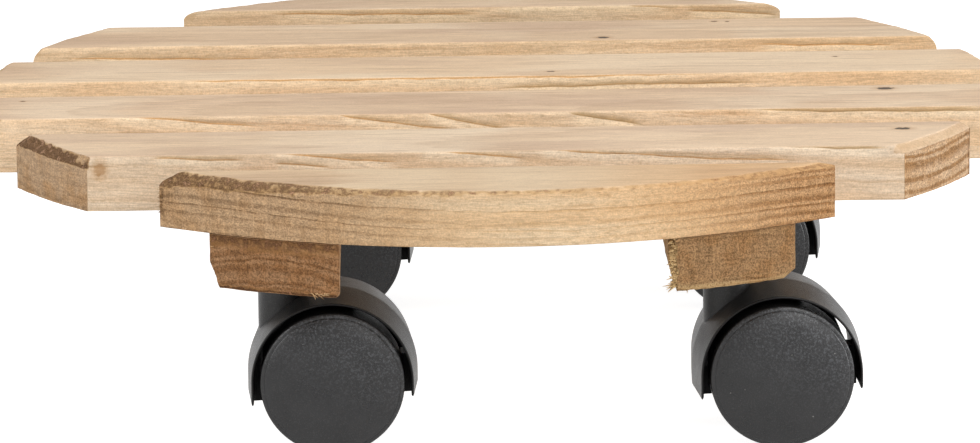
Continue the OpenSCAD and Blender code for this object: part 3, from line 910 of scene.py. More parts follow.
def web_foot():
    """The lower part of that plate, from the axle's height down to its own cut. The cells round
    the axle are left out, where the boss is."""
    reach = BORE_SHELL_R + SHELL_BITE
    x = TRAIL + np.linspace(-reach, reach, 61)[None, :]
    z = AXLE_Z + np.linspace(0, 1, 13)[:, None] * (cut_height(x, WEB_DROP) - AXLE_Z)
    front, back = plate(x, z)
    middle = cell_middles(front)
    return sheet_shell(front, back, np.hypot(middle[..., 0] - TRAIL, middle[..., 2] - AXLE_Z) > BOSS_R - 1)


print("web and foot have", len(hood_web()[0]), "and", len(web_foot()[0]), "points")

# %% [markdown]
# ## The whole hood
# The housing and the boss are turned profiles. The housing's lower end follows the sloping cut:
# each of its lowest points moves down to it, and the share fades out upwards.

# %% Put the hood together
def hood_shells():
    """All parts of the moulding with the swivel axis on Z."""
    housing = [
        (0, 0, 0), (HOUSING_R, 0, 0.3), (HOUSING_R, HOUSING_TOP, 0.5), (PIN_BORE_R, HOUSING_TOP, 0.3),
        (PIN_BORE_R, PIN_BORE_Z, 0), (0, PIN_BORE_Z, 0),
    ]
    p, quads = revolve(soften(housing, False), HOUSING_STEPS)
    share = 1 - p[:, 2] / HOUSING_TOP
    p[:, 2] += np.where(p[:, 2] < 1, 1, 0) * share * cut_height(p[:, 0])
    boss = [
        (AXLE_BORE_R, -BOSS_HALF, 0.2), (BOSS_R, -BOSS_HALF, 0.4), (BOSS_R, BOSS_HALF, 0.4),
        (AXLE_BORE_R, BOSS_HALF, 0.2),
    ]
    q, ring = revolve(soften(boss, True), BOSS_STEPS)
    q = np.stack([TRAIL + q[:, 0], -q[:, 2], AXLE_Z + q[:, 1]], -1)
    return [hood_shell(), hood_web(), web_foot(), weld(p, quads), weld(q, ring)]


hood_points, hood_faces = join_shells(hood_shells())
print(f"a hood has {len(hood_faces)} faces")

# %% [markdown]
# ## Four casters
# A caster is drawn once, with its swivel axis on Z, and then turned and moved under the deck.
# The place is the middle of the CAD kingpin, and the direction points from there to the middle
# of the CAD axle, so a turned caster needs no number of its own.

# %% Make the hoods and wheels
CORNERS = ["front_left", "front_right", "rear_left", "rear_right"]
CASTER_HALF, SHELL_DUST = 20.5, 0.55
wheel_out = ease(wheel_points[:, 2], WHEEL_W - EDGE_SINK - 0.9, WHEEL_W - EDGE_SINK - 0.2)


def under_deck(corner, points):
    """Turns points about Z by the caster's trailing direction and moves them to its axis."""
    pin, axle = (middle_and_size(f"{corner}_{part}")[0] for part in ("kingpin", "axle"))
    ahead = (axle - pin)[:2] / np.linalg.norm((axle - pin)[:2])
    turn = np.array([[ahead[0], -ahead[1], 0], [ahead[1], ahead[0], 0], [0, 0, 1]])
    return points @ turn.T + [pin[0], pin[1], 0]


def hood_dust_and_shade(p):
    """How much dust lies there: most on the housing, less on the shell. Inner sides get none and are painted
    a deeper black as shade.
    """
    from_axle, from_pin = np.hypot(p[:, 0] - TRAIL, p[:, 2] - AXLE_Z), np.hypot(p[:, 0], p[:, 1])
    from_middle = np.where(p[:, 2] < AXLE_Z, np.abs(p[:, 0] - TRAIL), from_axle)
    on_shell = SHELL_DUST * ease(from_middle, BORE_SHELL_R + 0.2, BORE_SHELL_R + 0.6)
    return np.maximum(on_shell, ease(np.abs(from_pin - HOUSING_R), 0.6, 0.2) * (p[:, 2] > AXLE_Z))


def wheel_dust_and_highlight(points):
    """Masks of a wheel in its hood: its outer face takes dust and its other sides painted shade,
    and the upper right of the face, where height is 0.45 parts along the caster and 0.89 parts up,
    takes powder and a painted highlight."""
    height = 0.45 * (points[:, 0] - TRAIL) + 0.89 * (points[:, 2] - AXLE_Z)
    return {"outer_dust_inner_shade": wheel_out, "dust_and_highlight": wheel_out * ease(height, -9.0, 19.0)}


hood_masks = {"outer_dust_inner_shade": hood_dust_and_shade(hood_points)}
wx, wy, wz = (wheel_points + [0, 0, CASTER_HALF - WHEEL_W]).T
ends = {
    "front": np.stack([TRAIL + wx, -wz, AXLE_Z + wy], -1),
    "back": np.stack([TRAIL + wx, wz, AXLE_Z - wy], -1),
}
hood_pieces, wheel_pieces = [], []
for corner in CORNERS:
    place = under_deck(corner, hood_points)
    name, body, node = f"{corner}_cover", f"{corner}_caster", f"{corner}_hood"
    hood_pieces.append(make_piece(name, body, place, hood_faces, node, hood_masks))
    for end, points in ends.items():
        name, body, node = f"{corner}_{end}_tyre", f"{corner}_{end}_wheel", f"{corner}_wheel_{end}"
        place = under_deck(corner, points)
        masks = wheel_dust_and_highlight(points)
        wheel_pieces.append(make_piece(name, body, place, wheel_faces, node, masks))

# %% [markdown]
# ## Helpers for materials
# A material is a network of small nodes, joined from output to input. It could be wired by hand
# in the shader editor; in a script it reads best as a formula. So an output of a node is kept
# as a `Signal`, and a sum or product of two signals adds the Math node that works it out.

# %% Write node networks as formulas
class Signal:
    """The output of a node: a number, place or colour that can be reckoned with."""

    def __init__(self, socket):
        self.socket, self.tree = socket, socket.id_data


def put(tree, kind, settings=None, **inputs):
    """Adds a node. Settings are its own properties. An input is named by its label, or by its
    number after an underscore, and takes a value or a signal."""
    node = tree.nodes.new("ShaderNode" + kind)
    for name, value in (settings or {}).items():
        setattr(node, name, value)
    for name, value in inputs.items():
        socket = node.inputs[int(name[1:]) if name[0] == "_" else name.replace("_", " ")]
        if isinstance(value, Signal):
            tree.links.new(value.socket, socket)
        else:
            socket.default_value = value
    return node


def out(node, which=0):
    """One output of a node as a signal, by its number or its name."""
    return Signal(node.outputs[which])


def calc(operation, a, b=0.0):
    """One step of arithmetic on two numbers, of which at least one is a signal."""
    tree = (a if isinstance(a, Signal) else b).tree
    return out(put(tree, "Math", {"operation": operation}, _0=a, _1=b))


SIGNS = {"add": "ADD", "sub": "SUBTRACT", "mul": "MULTIPLY", "truediv": "DIVIDE", "pow": "POWER"}
for sign, operation in SIGNS.items():
    setattr(Signal, f"__{sign}__", lambda a, b, o=operation: calc(o, a, b))
    setattr(Signal, f"__r{sign}__", lambda a, b, o=operation: calc(o, b, a))
print("signals can", ", ".join(operation.lower() for operation in SIGNS.values()))

# %% [markdown]
# ## Places and masks
# Nearly every effect below starts as a noise over the surface, made hard or soft by two limits.
# The noise could come from a picture; worked out from the place, it never repeats or blurs.
# Each of these steps is one node.

# %% Make helpers for places and masks
def parts(place):
    """The three coordinates of a place."""
    return [Signal(socket) for socket in put(place.tree, "SeparateXYZ", Vector=place).outputs]


def vector(operation, a, b=(0, 0, 0), which=0):
    """One step of arithmetic on places."""
    return out(put(a.tree, "VectorMath", {"operation": operation}, _0=a, _1=b), which)


def smooth(value, low, high):
    """0 at low, 1 at high, eased between, as in the function `ease` above."""
    settings = {"interpolation_type": "SMOOTHSTEP"}
    return out(put(value.tree, "MapRange", settings, Value=value, From_Min=low, From_Max=high))


def cloud(place, stretch, detail=2.0, roughness=0.5):
    """Blender's own noise, 0 to 1 about 0.5. Stretch is one scale or one for each axis."""
    scale = 1.0 if isinstance(stretch, tuple) else stretch
    place = vector("MULTIPLY", place, stretch) if isinstance(stretch, tuple) else place
    return out(put(place.tree, "TexNoise", Vector=place, Scale=scale, Detail=detail, Roughness=roughness))


def lot(number):
    """A random number from 0 to 1 that goes with a whole number."""
    return out(put(number.tree, "TexWhiteNoise", {"noise_dimensions": "1D"}, W=number))


trial = bpy.data.node_groups.new("trial", "ShaderNodeTree")
smooth(out(put(trial, "Value")) * 2.0 + 1.0, 0.2, 0.8)
print("a product, a sum and two limits take", len(trial.nodes), "nodes with the value itself")
bpy.data.node_groups.remove(trial)

# %% [markdown]
# ## Colours over colours
# A mask then lays one colour over another, as a stain or dust does on the real thing. A colour
# ramp would do for one mask; blends can be stacked, and each says how strong it is.

# %% Make helpers for colours
def mix(share, a, b, kind="MIX"):
    """Blends two colours. A colour is a signal, or its red, green and blue."""
    tree = next(value.tree for value in (share, a, b) if isinstance(value, Signal))
    a, b = (colour if isinstance(colour, Signal) else (*colour, 1) for colour in (a, b))
    settings = {"data_type": "RGBA", "blend_type": kind}
    return out(put(tree, "Mix", settings, _0=share, _6=a, _7=b), 2)


def blend(colour, other, mask, strength=1.0):
    """Lays another colour over a colour, as far as a mask times a strength says."""
    return mix(mask * strength, colour, other)


def between(a, b, share):
    """A plain colour between two others."""
    return tuple(one + share * (two - one) for one, two in zip(a, b))


def multiply(colour, other):
    """Multiplies two colours."""
    return mix(1.0, colour, other, "MULTIPLY")


def shade(colour, mask, low, high):
    """Multiplies a colour by a grey that goes from low to high with a mask."""
    return multiply(colour, mix(mask, 3 * (low,), 3 * (high,)))


print("halfway from black to white:", between((0, 0, 0), (1, 1, 1), 0.5))

# %% [markdown]
# ## Groups and materials
# An effect that more than one material uses is a node group: built once from a formula, and
# placed in each material with its own values. Groups put out only masks and heights; the shader
# itself stays in the material.

# %% Build groups and materials
def new_group(name, inputs, formula):
    """A node group from a formula that takes signals and returns its outputs by name. Inputs
    are named with their kind and value; all outputs are numbers."""
    tree = bpy.data.node_groups.new(name, "ShaderNodeTree")
    for label, (kind, value) in inputs.items():
        socket = tree.interface.new_socket(label, in_out="INPUT", socket_type="NodeSocket" + kind)
        socket.default_value = value
    given = tree.nodes.new("NodeGroupInput")
    results = formula(*(out(given, label) for label in inputs))
    for label in results:
        tree.interface.new_socket(label, in_out="OUTPUT", socket_type="NodeSocketFloat")
    taken = tree.nodes.new("NodeGroupOutput")
    for label, signal in results.items():
        tree.links.new(signal.socket, taken.inputs[label])
    print(f"{name}: {len(tree.nodes)} nodes give {', '.join(results)}")
    return tree


def use_group(tree, group, **inputs):
    """Places a group in a network and returns its outputs by name."""
    node = put(tree, "Group", {"node_tree": group}, **inputs)
    return {socket.name: Signal(socket) for socket in node.outputs}


def new_material(name):
    """An empty material; returns it with its network and the place in object coordinates."""
    material = bpy.data.materials.new(name)
    material.use_nodes = True
    material.node_tree.nodes.clear()
    return material, material.node_tree, out(put(material.node_tree, "TexCoord"), "Object")


def mesh_mask(tree, name):
    """A mask that the mesh carries, 0 where it has none."""
    return out(put(tree, "Attribute", {"attribute_name": name}), "Fac")


def relief_bump(height, strength, distance):
    """Tilts the surface as a height would that is this strong and this many metres deep."""
    return out(put(height.tree, "Bump", Height=height, Strength=strength, Distance=distance))


def finish_material(tree, **inputs):
    """Puts a Principled shader at the end of a network."""
    put(tree, "OutputMaterial", Surface=out(put(tree, "BsdfPrincipled", **inputs)))


NOWHERE = ("Vector", (0, 0, 0))

# %% [markdown]
# ## Growth rings
# A tree grows in rings about its pith: pale early wood, then a darker line of late wood that
# stops sharply. The Wave texture makes even rings, but a board's are uneven and broken. A board
# is a straight cut through the rings, so one pattern in space gives arcs on its ends and long
# flames on its faces. Place comes in log coordinates, with the pith on the X axis. A softer
# wave of about one crest to a ring gives the bands that a rough cut shows.

# %% Build the ring group
def growth_rings(place, ring_width, wander, seed, start):
    """The distance from the pith, bent by slow and quick noise, divided by the ring's width and
    unevenly paced, counts the rings. Its fraction says where in a ring a point lies: late wood
    rises from start to 0.93 with the power 1.3 and ends at 1."""
    along, y, z = parts(place)
    slow = cloud(place, (11, 45, 45), detail=2.5) - 0.5
    from_pith = calc("SQRT", y * y + z * z) + slow * (wander * 2.0)
    quick = cloud(place, (130, 420, 420)) - 0.5
    from_pith = from_pith + quick * (0.9 * MM)
    rings = from_pith / ring_width + seed
    pace = out(put(rings.tree, "TexNoise", {"noise_dimensions": "1D"}, W=rings * 0.4, Scale=1.0, Detail=1.0))
    rings = rings + pace * 2.2
    part, number = calc("FRACT", rings), calc("FLOOR", rings)
    breaks = smooth(cloud(place, (70, 600, 600)), 0.25, 0.52)
    late = smooth(part, start, 0.93) ** 1.3 * smooth(part, 1.0, 0.93)
    wave = calc("SINE", rings * (2.1 * math.pi)) * breaks
    drawn_out = out(put(rings.tree, "CombineXYZ", X=rings, Y=along * 14.0))
    return {
        "Late": late * (breaks * smooth(lot(number), -0.1, 0.75)),
        "Wave": smooth(wave, -0.6, 0.8),
        "Band": cloud(drawn_out, (0.45, 1, 1)),
        "Hue": lot(number + 77.7),
    }


ring_inputs = {
    "Place": NOWHERE, "Ring Width": ("Float", 0.003), "Wander": ("Float", 0.002),
    "Seed": ("Float", 0.0), "Start": ("Float", 0.3),
}
ring_group = new_group("growth rings", ring_inputs, growth_rings)

# %% [markdown]
# ## Fibres, flecks and saw strokes
# Between the rings the wood is drawn out in fine fibres. On a sawn side the cut fibres show as
# short light and dark flecks along the grain, and on end grain as even specks in soft, darker
# clouds. Where the blade crossed the grain it left upright strokes and level dashes, in the
# object's own coordinates. All are the same noise, stretched in different ways, so a table
# gives the stretch, detail and roughness of each.

# %% Build the fibre group
ALONG_GRAIN = {
    "Streaks": ((24, 800, 800), 3.0, 0.6), "Flecks": ((210, 2400, 2400), 3.0, 0.65),
    "Specks": ((2100, 2100, 2100), 2.0, 0.65), "Grit": ((700, 1300, 1300), 2.0, 0.6),
    "Patches": ((10, 60, 60), 4.0, 0.55), "Clouds": ((110, 140, 140), 2.0, 0.6),
    "Crumbs": ((560, 640, 640), 3.0, 0.65),
}
ALONG_BLADE = {"Strokes": ((1300, 1300, 150), 2.0, 0.55), "Dashes": ((320, 320, 1500), 3.0, 0.6)}


def wood_fibres(place, upright):
    """Noise stretched along the grain, and noise stretched along or across the blade's way."""
    both = ((place, ALONG_GRAIN), (upright, ALONG_BLADE))
    return {label: cloud(where, *shape) for where, table in both for label, shape in table.items()}


fibre_group = new_group("wood fibres", {"Place": NOWHERE, "Upright": NOWHERE}, wood_fibres)

# %% [markdown]
# ## Lines of late wood on the front faces
# On the long front faces a few growth rings come out at a very low angle, as single dark lines
# that drop slowly along the board. The ring pattern can't be told where to put them, so they
# are drawn one by one. Each has a sharp lower edge, fades upwards over two millimetres, and has
# pale early wood under it. Such a line goes through three heights: at its start, its middle and
# its end.

# %% Build the grain line group
def grain_line(place, ends, heights):
    """With s the share of the way from one end to the other, the line's height is
    z0 (1-s)(1-2s) + 4 z1 s(1-s) + z2 s(2s-1), made unsteady by noise. The masks depend on how
    many millimetres a point lies over the line."""
    x, _, z = parts(place)
    start, end, _ = parts(ends)
    z0, z1, z2 = parts(heights)
    share = (x - start) / (end - start)
    rest, double = 1.0 - share, share * 2.0
    path = z0 * (rest * (1.0 - double)) + z1 * (double * (rest * 2.0)) + z2 * (share * (double - 1.0))
    unsteady = cloud(place, (60, 0, 0), detail=3.0) - 0.5
    over = (z - path + unsteady * (1.6 * MM)) * (1 / MM)
    there = smooth(share, 0.0, 0.15) * smooth(share, 1.0, 0.8)
    return {
        "Dark": smooth(over, -0.12, 0.1) * smooth(over, 2.2, 0.0) * there,
        "Core": smooth(over, -0.25, 0.0) * smooth(over, 0.4, 0.1) * there,
        "Pale": smooth(over, -3.6, -0.8) * smooth(over, 0.0, -0.2) * there,
    }


line_inputs = {"Place": NOWHERE, "Ends": ("Vector", (0, 1, 0)), "Heights": NOWHERE}
line_group = new_group("grain line", line_inputs, grain_line)

# %% [markdown]
# ## Pin knots
# A few small dead twigs were cut through and show as dark spots on the tops. Random spots would
# fall anywhere, so each knot has its own place.

# %% Build the knot group
def pin_knot(place, middle, per_size):
    """The distance from the knot's middle, divided by its half sizes along the three axes and
    frayed by noise: dark up to 1, with a faint brown halo out to 2."""
    off = vector("MULTIPLY", vector("SUBTRACT", place, middle), per_size)
    fray = (cloud(place, (900, 900, 900)) - 0.5) * 1.2
    away = vector("LENGTH", off, which="Value") + fray
    return {"Core": smooth(away, 1.1, 0.75), "Halo": smooth(away, 2.2, 0.9)}


knot_inputs = {"Place": NOWHERE, "Middle": NOWHERE, "Per Size": ("Vector", (1, 1, 1))}
knot_group = new_group("pin knot", knot_inputs, pin_knot)

# %% [markdown]
# ## The colours of the wood
# One softwood has many colours: cream early wood and orange or olive late wood on the sides,
# beige and mauve on the planed tops, tan and rust on end grain, and brown grime on the rim.
# They are given as light sent back in red, green and blue.

# %% Name the colours
CREAM, GOLD = (0.83, 0.645, 0.445), (0.78, 0.545, 0.33)
PALE_LINE, GRAINY = (0.97, 0.78, 0.545), (0.50, 0.33, 0.16)
ORANGE, OLIVE, BROWN = (0.62, 0.31, 0.10), (0.42, 0.27, 0.12), (0.16, 0.085, 0.038)
BEIGE, MAUVE = (0.80, 0.60, 0.41), (0.67, 0.485, 0.335)
LIGHT_TOP, TOP_LINE = (0.87, 0.70, 0.51), (0.46, 0.30, 0.18)
TAN, RUST, BAND_BROWN = (0.56, 0.375, 0.225), (0.42, 0.215, 0.075), (0.29, 0.145, 0.052)
RIM_GOLD, RIM_BROWN, RIM_RED = (0.50, 0.31, 0.135), (0.16, 0.087, 0.042), (0.38, 0.225, 0.135)
KNOT_BROWN, TORN_PALE, TORN_DARK = (0.06, 0.042, 0.03), (0.98, 0.80, 0.52), (0.42, 0.26, 0.11)
print(f"the palest wood is {sum(TORN_PALE) / sum(BROWN):.0f} times as light as the darkest")

# %% [markdown]
# ## Three looks of one wood
# Sawn sides are cream to gold with brown rings and flecks. Planed tops are pinkish beige and
# calm. End grain is tan to dark brown. One look with other settings would not do for all three,
# because the saw and the plane leave different marks, so each has its own formula.

# %% Mix the three looks
def side_look(ring, fibre, place, board):
    """Sawn side along the grain: cream and gold bands, fine streaks, faint rings, then the
    board's own late-wood lines, and flecks over it all."""
    colour = mix(smooth(ring["Band"], 0.35, 0.72), CREAM, GOLD)
    colour = blend(colour, RUST, smooth(fibre["Streaks"], 0.52, 0.8), 0.4)
    colour = blend(colour, mix(ring["Hue"], ORANGE, OLIVE), ring["Late"], board["late_side"])
    for hue, x0, z0, z1, x2, z2 in board["lines"]:
        ends, heights = (x0 * MM, x2 * MM, 0), (z0 * MM, z1 * MM, z2 * MM)
        line = use_group(place.tree, line_group, Place=place, Ends=ends, Heights=heights)
        colour = blend(colour, PALE_LINE, line["Pale"], 0.75)
        colour = blend(colour, OLIVE, line["Dark"], 0.4 + 0.4 * hue)
        colour = blend(colour, between(ORANGE, OLIVE, hue), line["Core"], 0.75)
    colour = blend(colour, GRAINY, smooth(fibre["Grit"], 0.53, 0.7), 0.3)
    colour = shade(colour, smooth(fibre["Specks"], 0.3, 0.7), 0.9, 1.08)
    return shade(colour, smooth(fibre["Flecks"], 0.3, 0.7), 0.85, 1.12)


def top_look(ring, fibre):
    """Planed top: beige with mauve and light streaks, some of them hair-thin, and faint rings."""
    colour = mix(smooth(fibre["Patches"], 0.42, 0.6), BEIGE, MAUVE)
    colour = blend(colour, LIGHT_TOP, smooth(ring["Band"], 0.44, 0.62), 0.75)
    colour = blend(colour, TOP_LINE, ring["Late"], 0.3)
    colour = blend(colour, TOP_LINE, smooth(fibre["Streaks"], 0.5, 0.75), 0.55)
    colour = shade(colour, smooth(fibre["Specks"], 0.3, 0.7), 0.94, 1.06)
    return shade(colour, smooth(fibre["Flecks"], 0.3, 0.7), 0.92, 1.07)


def end_look(ring, fibre, right, board):
    """Sawn across the grain: tan to brown, rusty clouds, broken rings, and on the right strong
    bands that follow them; then even specks and the blade's upright strokes and dashes."""
    bands, speckle = board["bands"], board["speckle"]
    colour = between(TAN, BROWN, board["end_tone"])
    colour = blend(colour, RUST, smooth(fibre["Clouds"], 0.42, 0.66), board["rust"])
    colour = blend(colour, BROWN, ring["Late"], board["late_end"])
    band = ring["Wave"] * right
    colour = blend(colour, GOLD, right - band, 0.1 * bands)
    colour = blend(colour, BAND_BROWN, band, bands)
    colour = blend(colour, BROWN, smooth(fibre["Specks"], 0.52, 0.36) * right, 0.3)
    colour = blend(colour, GOLD, smooth(fibre["Strokes"], 0.55, 0.7), 0.2)
    colour = shade(colour, smooth(fibre["Strokes"], 0.32, 0.52), 1 - 0.11 * speckle, 1.0)
    colour = shade(colour, smooth(fibre["Dashes"], 0.34, 0.62), 0.86, 1.07)
    return shade(colour, smooth(fibre["Specks"], 0.32, 0.68), 1 - 0.24 * speckle, 1 + 0.2 * speckle)


print("looks:", ", ".join(look.__name__ for look in (side_look, top_look, end_look)))

# %% [markdown]
# ## Wear and knots over the wood
# A board's pattern starts at its pith, so its place in the log comes first. Grime, torn fibres
# and knots come last, over whatever the wood looks like there. They could be painted on by hand,
# but paint would not follow a mesh that changes; masks on the mesh do.

# %% Lay the wear over the wood
def log_place(object_place, middle, pith, turns):
    """Object coordinates as log coordinates: turned about the three axes, and moved so that
    the pith, given in mm from the board's middle, lies on the X axis."""
    euler = Euler([math.radians(a) for a in turns])
    move = -(euler.to_matrix() @ Vector(middle * MM)) - Vector((0, pith[0] * MM, pith[1] * MM))
    return out(put(object_place.tree, "Mapping", Vector=object_place, Location=move, Rotation=euler))


def worn_and_torn(colour, fibre, worn, torn):
    """Lays gold, then grime over the worn rim, ragged by crumbs of noise, and pale and dark
    fibres over torn wood."""
    colour = blend(colour, RIM_GOLD, smooth(worn, 0.1, 0.45), 0.5)
    grime = mix(smooth(fibre["Crumbs"], 0.5, 0.68), RIM_BROWN, RIM_RED)
    grime = shade(grime, smooth(fibre["Specks"], 0.3, 0.7), 0.6, 1.3)
    cover = worn + (fibre["Crumbs"] - 0.5) * 1.3
    colour = mix(smooth(cover, 0.35, 0.8), colour, grime)
    return mix(torn, colour, mix(smooth(fibre["Specks"], 0.3, 0.5), TORN_DARK, TORN_PALE))


def add_knots(colour, place, knots):
    """Lays the pin knots over a colour. A knot is its middle and half sizes in mm and how dark
    it is."""
    for centre, half, darkness in knots:
        middle, per_size = tuple(c * MM for c in centre), tuple(1 / (h * MM) for h in half)
        knot = use_group(place.tree, knot_group, Place=place, Middle=middle, Per_Size=per_size)
        colour = blend(colour, RUST, knot["Halo"], 0.35)
        colour = blend(colour, between(RUST, KNOT_BROWN, darkness), knot["Core"], 0.5 + 0.45 * darkness)
    return colour


print("laid over the wood, in this order: gold and grime, torn fibres, pin knots")

# %% [markdown]
# ## One board's material
# Each board gets its own material, because each was cut from another place in the log: its
# own pith, tilt, ring width and tint. One material on all boards would run on from one to the
# next. The masks on the mesh choose between the three looks, and the wear is laid over them.

# %% Mix the wood
def wood(name, middle, board):
    """One board's material, from what the board table says of it."""
    material, tree, place = new_material(name)
    log = log_place(place, middle, board["pith"], board["turns"])
    width, wander = board["ring"] * MM, board["wander"] * MM
    rings = use_group(
        tree, ring_group, Place=log, Ring_Width=width, Wander=wander, Seed=board["seed"], Start=board["start"]
    )
    fibre = use_group(tree, fibre_group, Place=log, Upright=place)
    ends, planed, worn, torn = (mesh_mask(tree, m) for m in ("end_grain", "planed", "worn", "torn"))
    across = smooth(ends, 0.08, 0.5) * (1.0 - planed)
    right = smooth(parts(place)[0], board["right_from"] * MM, (board["right_from"] + 60) * MM)

    side = multiply(side_look(rings, fibre, place, board), board["side_tint"])
    colour = mix(planed, side, top_look(rings, fibre))
    colour = mix(across, colour, end_look(rings, fibre, right, board))
    colour = add_knots(worn_and_torn(colour, fibre, worn, torn), place, board["knots"])
    colour = multiply(colour, mix(right, board["tint"], board["right_tint"] or board["tint"]))

    height = fibre["Flecks"] * 0.4 + fibre["Specks"] * (across + 0.1) - rings["Late"] * 0.3
    bump = relief_bump(height * (1.0 - planed * 0.85), 0.5, 0.5 * MM)
    matt = 0.85 - planed * 0.2
    finish_material(tree, Base_Color=colour, Roughness=matt, Normal=bump, Specular_IOR_Level=0.2)
    return material


print("masks that choose the look: end_grain, planed, worn, torn")

# %% [markdown]
# ## What all boards share
# Boards from one tree are much alike. Every value could be written out for every board, but then
# what sets one apart would be hard to see, so this table holds what most of them share.

# %% Describe the wood
FIR = {
    "start": 0.3,  # where in a ring the late wood begins
    "late_side": 0.4,  # how dark the rings are on sawn sides
    "late_end": 0.5,  # and how dark on end grain
    "end_tone": 0.1,  # how brown end grain is
    "rust": 0.4,  # how rusty its clouds are
    "bands": 0.5,  # how banded it is to the right of the next value
    "right_from": -500,
    "speckle": 1.0,  # how strong its specks are
    "tint": (1, 1, 1),  # multiplies every colour
    "right_tint": None,  # takes its place on the right
    "side_tint": (1, 1, 1),  # multiplies the sawn sides only
    "knots": (),
    "lines": (),
}
print("values that boards share:", ", ".join(FIR))

# %% [markdown]
# ## Where each board grew
# Now a row for each board: where its pith lay, in mm from its middle, and how far it is turned
# in the log, in degrees; then rings, tints, knots and lines, set by comparing with the
# photograph. A grain line is its hue, then x and height at its start, its middle height, and x
# and height at its end, in mm. Random boards would be quicker to write, and like no real one.

# %% Describe and finish the boards
TOP = DECK_TOP
BOARDS = {
    "slat_1": dict(
        pith=(4, -120), turns=(0, -0.9, 0), ring=2.5, wander=0.9, seed=0.3, start=0.5,
        late_side=0.45, late_end=0.85, end_tone=0.05, rust=0.3, bands=0.6, right_from=5,
        tint=(0.90, 0.87, 0.81), right_tint=(0.92, 0.79, 0.63), speckle=1.15,
    ),
    "slat_2": dict(
        pith=(-6, 150), turns=(0, -2.0, 0), ring=3.2, wander=1.3, seed=3.1, start=0.4,
        late_side=0.3, late_end=0.45, rust=0.5, bands=0.85, right_from=0,
        right_tint=(1.04, 1.05, 1.07), side_tint=(0.86, 0.87, 0.91),
        knots=[((113.9, -74.2, TOP), (2.3, 1.5, 3), 1.0), ((-108.8, -96.75, 80.8), (1.5, 2, 2.1), 0.15)],
        lines=[
            (0.1, -63.9, 85.0, 83.1, -25.0, 81.5), (0.2, -22.8, 84.9, 83.7, 9.4, 82.0),
            (0.3, 11.2, 84.8, 83.8, 39.6, 82.8), (0.2, 34.1, 83.3, 81.5, 84.5, 80.7),
            (0.9, 73.1, 84.6, 84.0, 109.3, 83.4), (0.4, -95.0, 83.6, 83.2, -67.6, 82.7),
            (0.3, -61.3, 81.9, 81.2, -44.8, 80.5),
        ],
    ),
    "slat_3": dict(
        pith=(-12, 80), turns=(0, -2.5, 3), ring=3.2, wander=2.0, seed=7.7, late_side=0.25,
        tint=(0.99, 0.97, 0.96),
        knots=[((113.4, -17.8, TOP), (2.4, 1.7, 3), 1.0), ((-134, -18.8, TOP), (0.8, 0.7, 2), 0.8)],
        lines=[
            (0.1, -110.8, 85.4, 83.2, -63.7, 81.1), (0.4, -45.4, 84.9, 81.6, -8.3, 79.6),
            (0.6, -19.9, 84.8, 81.7, 5.9, 79.4), (1.0, 21.1, 84.2, 82.1, 43.3, 80.0),
            (1.0, 69.3, 84.4, 83.2, 146.0, 83.2),
        ],
    ),
    "slat_4": dict(
        pith=(10, 70), turns=(0, 0.5, 1), ring=4.2, wander=1.6, seed=11.2, late_side=0.25,
        tint=(1.0, 0.98, 0.95),
        knots=[
            ((18.3, 14.1, TOP), (1.3, 0.6, 2), 1.0), ((6.5, -5.7, TOP), (0.6, 0.6, 2), 0.8),
            ((102.6, 30.6, TOP), (0.8, 0.6, 2), 0.8),
        ],
        lines=[(0.1, -98.5, 84.2, 83.9, 71.2, 84.2), (0.8, 0.3, 80.7, 81.4, 82.3, 81.3)],
    ),
    "slat_5": dict(
        pith=(-20, 60), turns=(0, 0.6, 0.4), ring=3.6, wander=1.2, seed=15.9, late_side=0.3,
        tint=(0.97, 0.95, 0.93), side_tint=(1.0, 0.99, 0.96),
        knots=[
            ((35.4, 65.2, TOP), (2.0, 1.3, 2), 1.0), ((70, 88.2, TOP), (1.0, 0.8, 2), 0.8),
            ((73.9, 87.9, TOP), (0.6, 0.8, 2), 0.8),
        ],
        lines=[(0.0, -127.6, 81.4, 80.4, -58.5, 80.1), (0.0, 80.0, 82.6, 82.0, 125.0, 81.8)],
    ),
    "slat_6": dict(
        pith=(6, 60), turns=(0, -0.8, 0), ring=4.5, wander=2.6, seed=19.4, late_side=0.3,
        tint=(0.98, 0.97, 0.96), side_tint=(0.85, 0.84, 0.81),
        lines=[
            (0.1, -66.9, 83.4, 82.7, 2.4, 82.4), (0.6, 2.5, 84.9, 84.9, 62.2, 83.1),
            (0.6, 62.2, 82.5, 81.8, 93.1, 80.6),
        ],
    ),
    "left_batten": dict(
        pith=(-3, -60), turns=(0, 0, -90), ring=2.9, wander=2.6, seed=23.5, late_end=0.55,
        end_tone=0.08, speckle=1.3, tint=(0.62, 0.50, 0.40),
    ),
    "right_batten": dict(
        pith=(3, -85), turns=(0, 0, -90), ring=2.2, wander=1.2, seed=28.1, start=0.5,
        late_end=0.35, end_tone=0.14, bands=0.1, speckle=1.4, tint=(0.66, 0.57, 0.44),
    ),
}
for piece in slat_pieces + batten_pieces:
    node = piece["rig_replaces"][0]
    middle, _ = middle_and_size(node)
    piece.data.materials.append(wood(node + "_fir", middle, {**FIR, **BOARDS[node]}))
print("boards finished:", len(BOARDS))

# %% [markdown]
# ## Dust and moulded grain
# The plastic came out of a tool with a fine matt grain, and it has stood in a workshop: pale
# specks of dust lie on it and the grain holds a thin grey film. On the upper right of each wheel's
# face a coarse lighter grey is laid, part powder and part painted highlight. Specks could be little
# meshes; as small discs round the points of a cell pattern, where only some cells have one, they
# cost nothing.

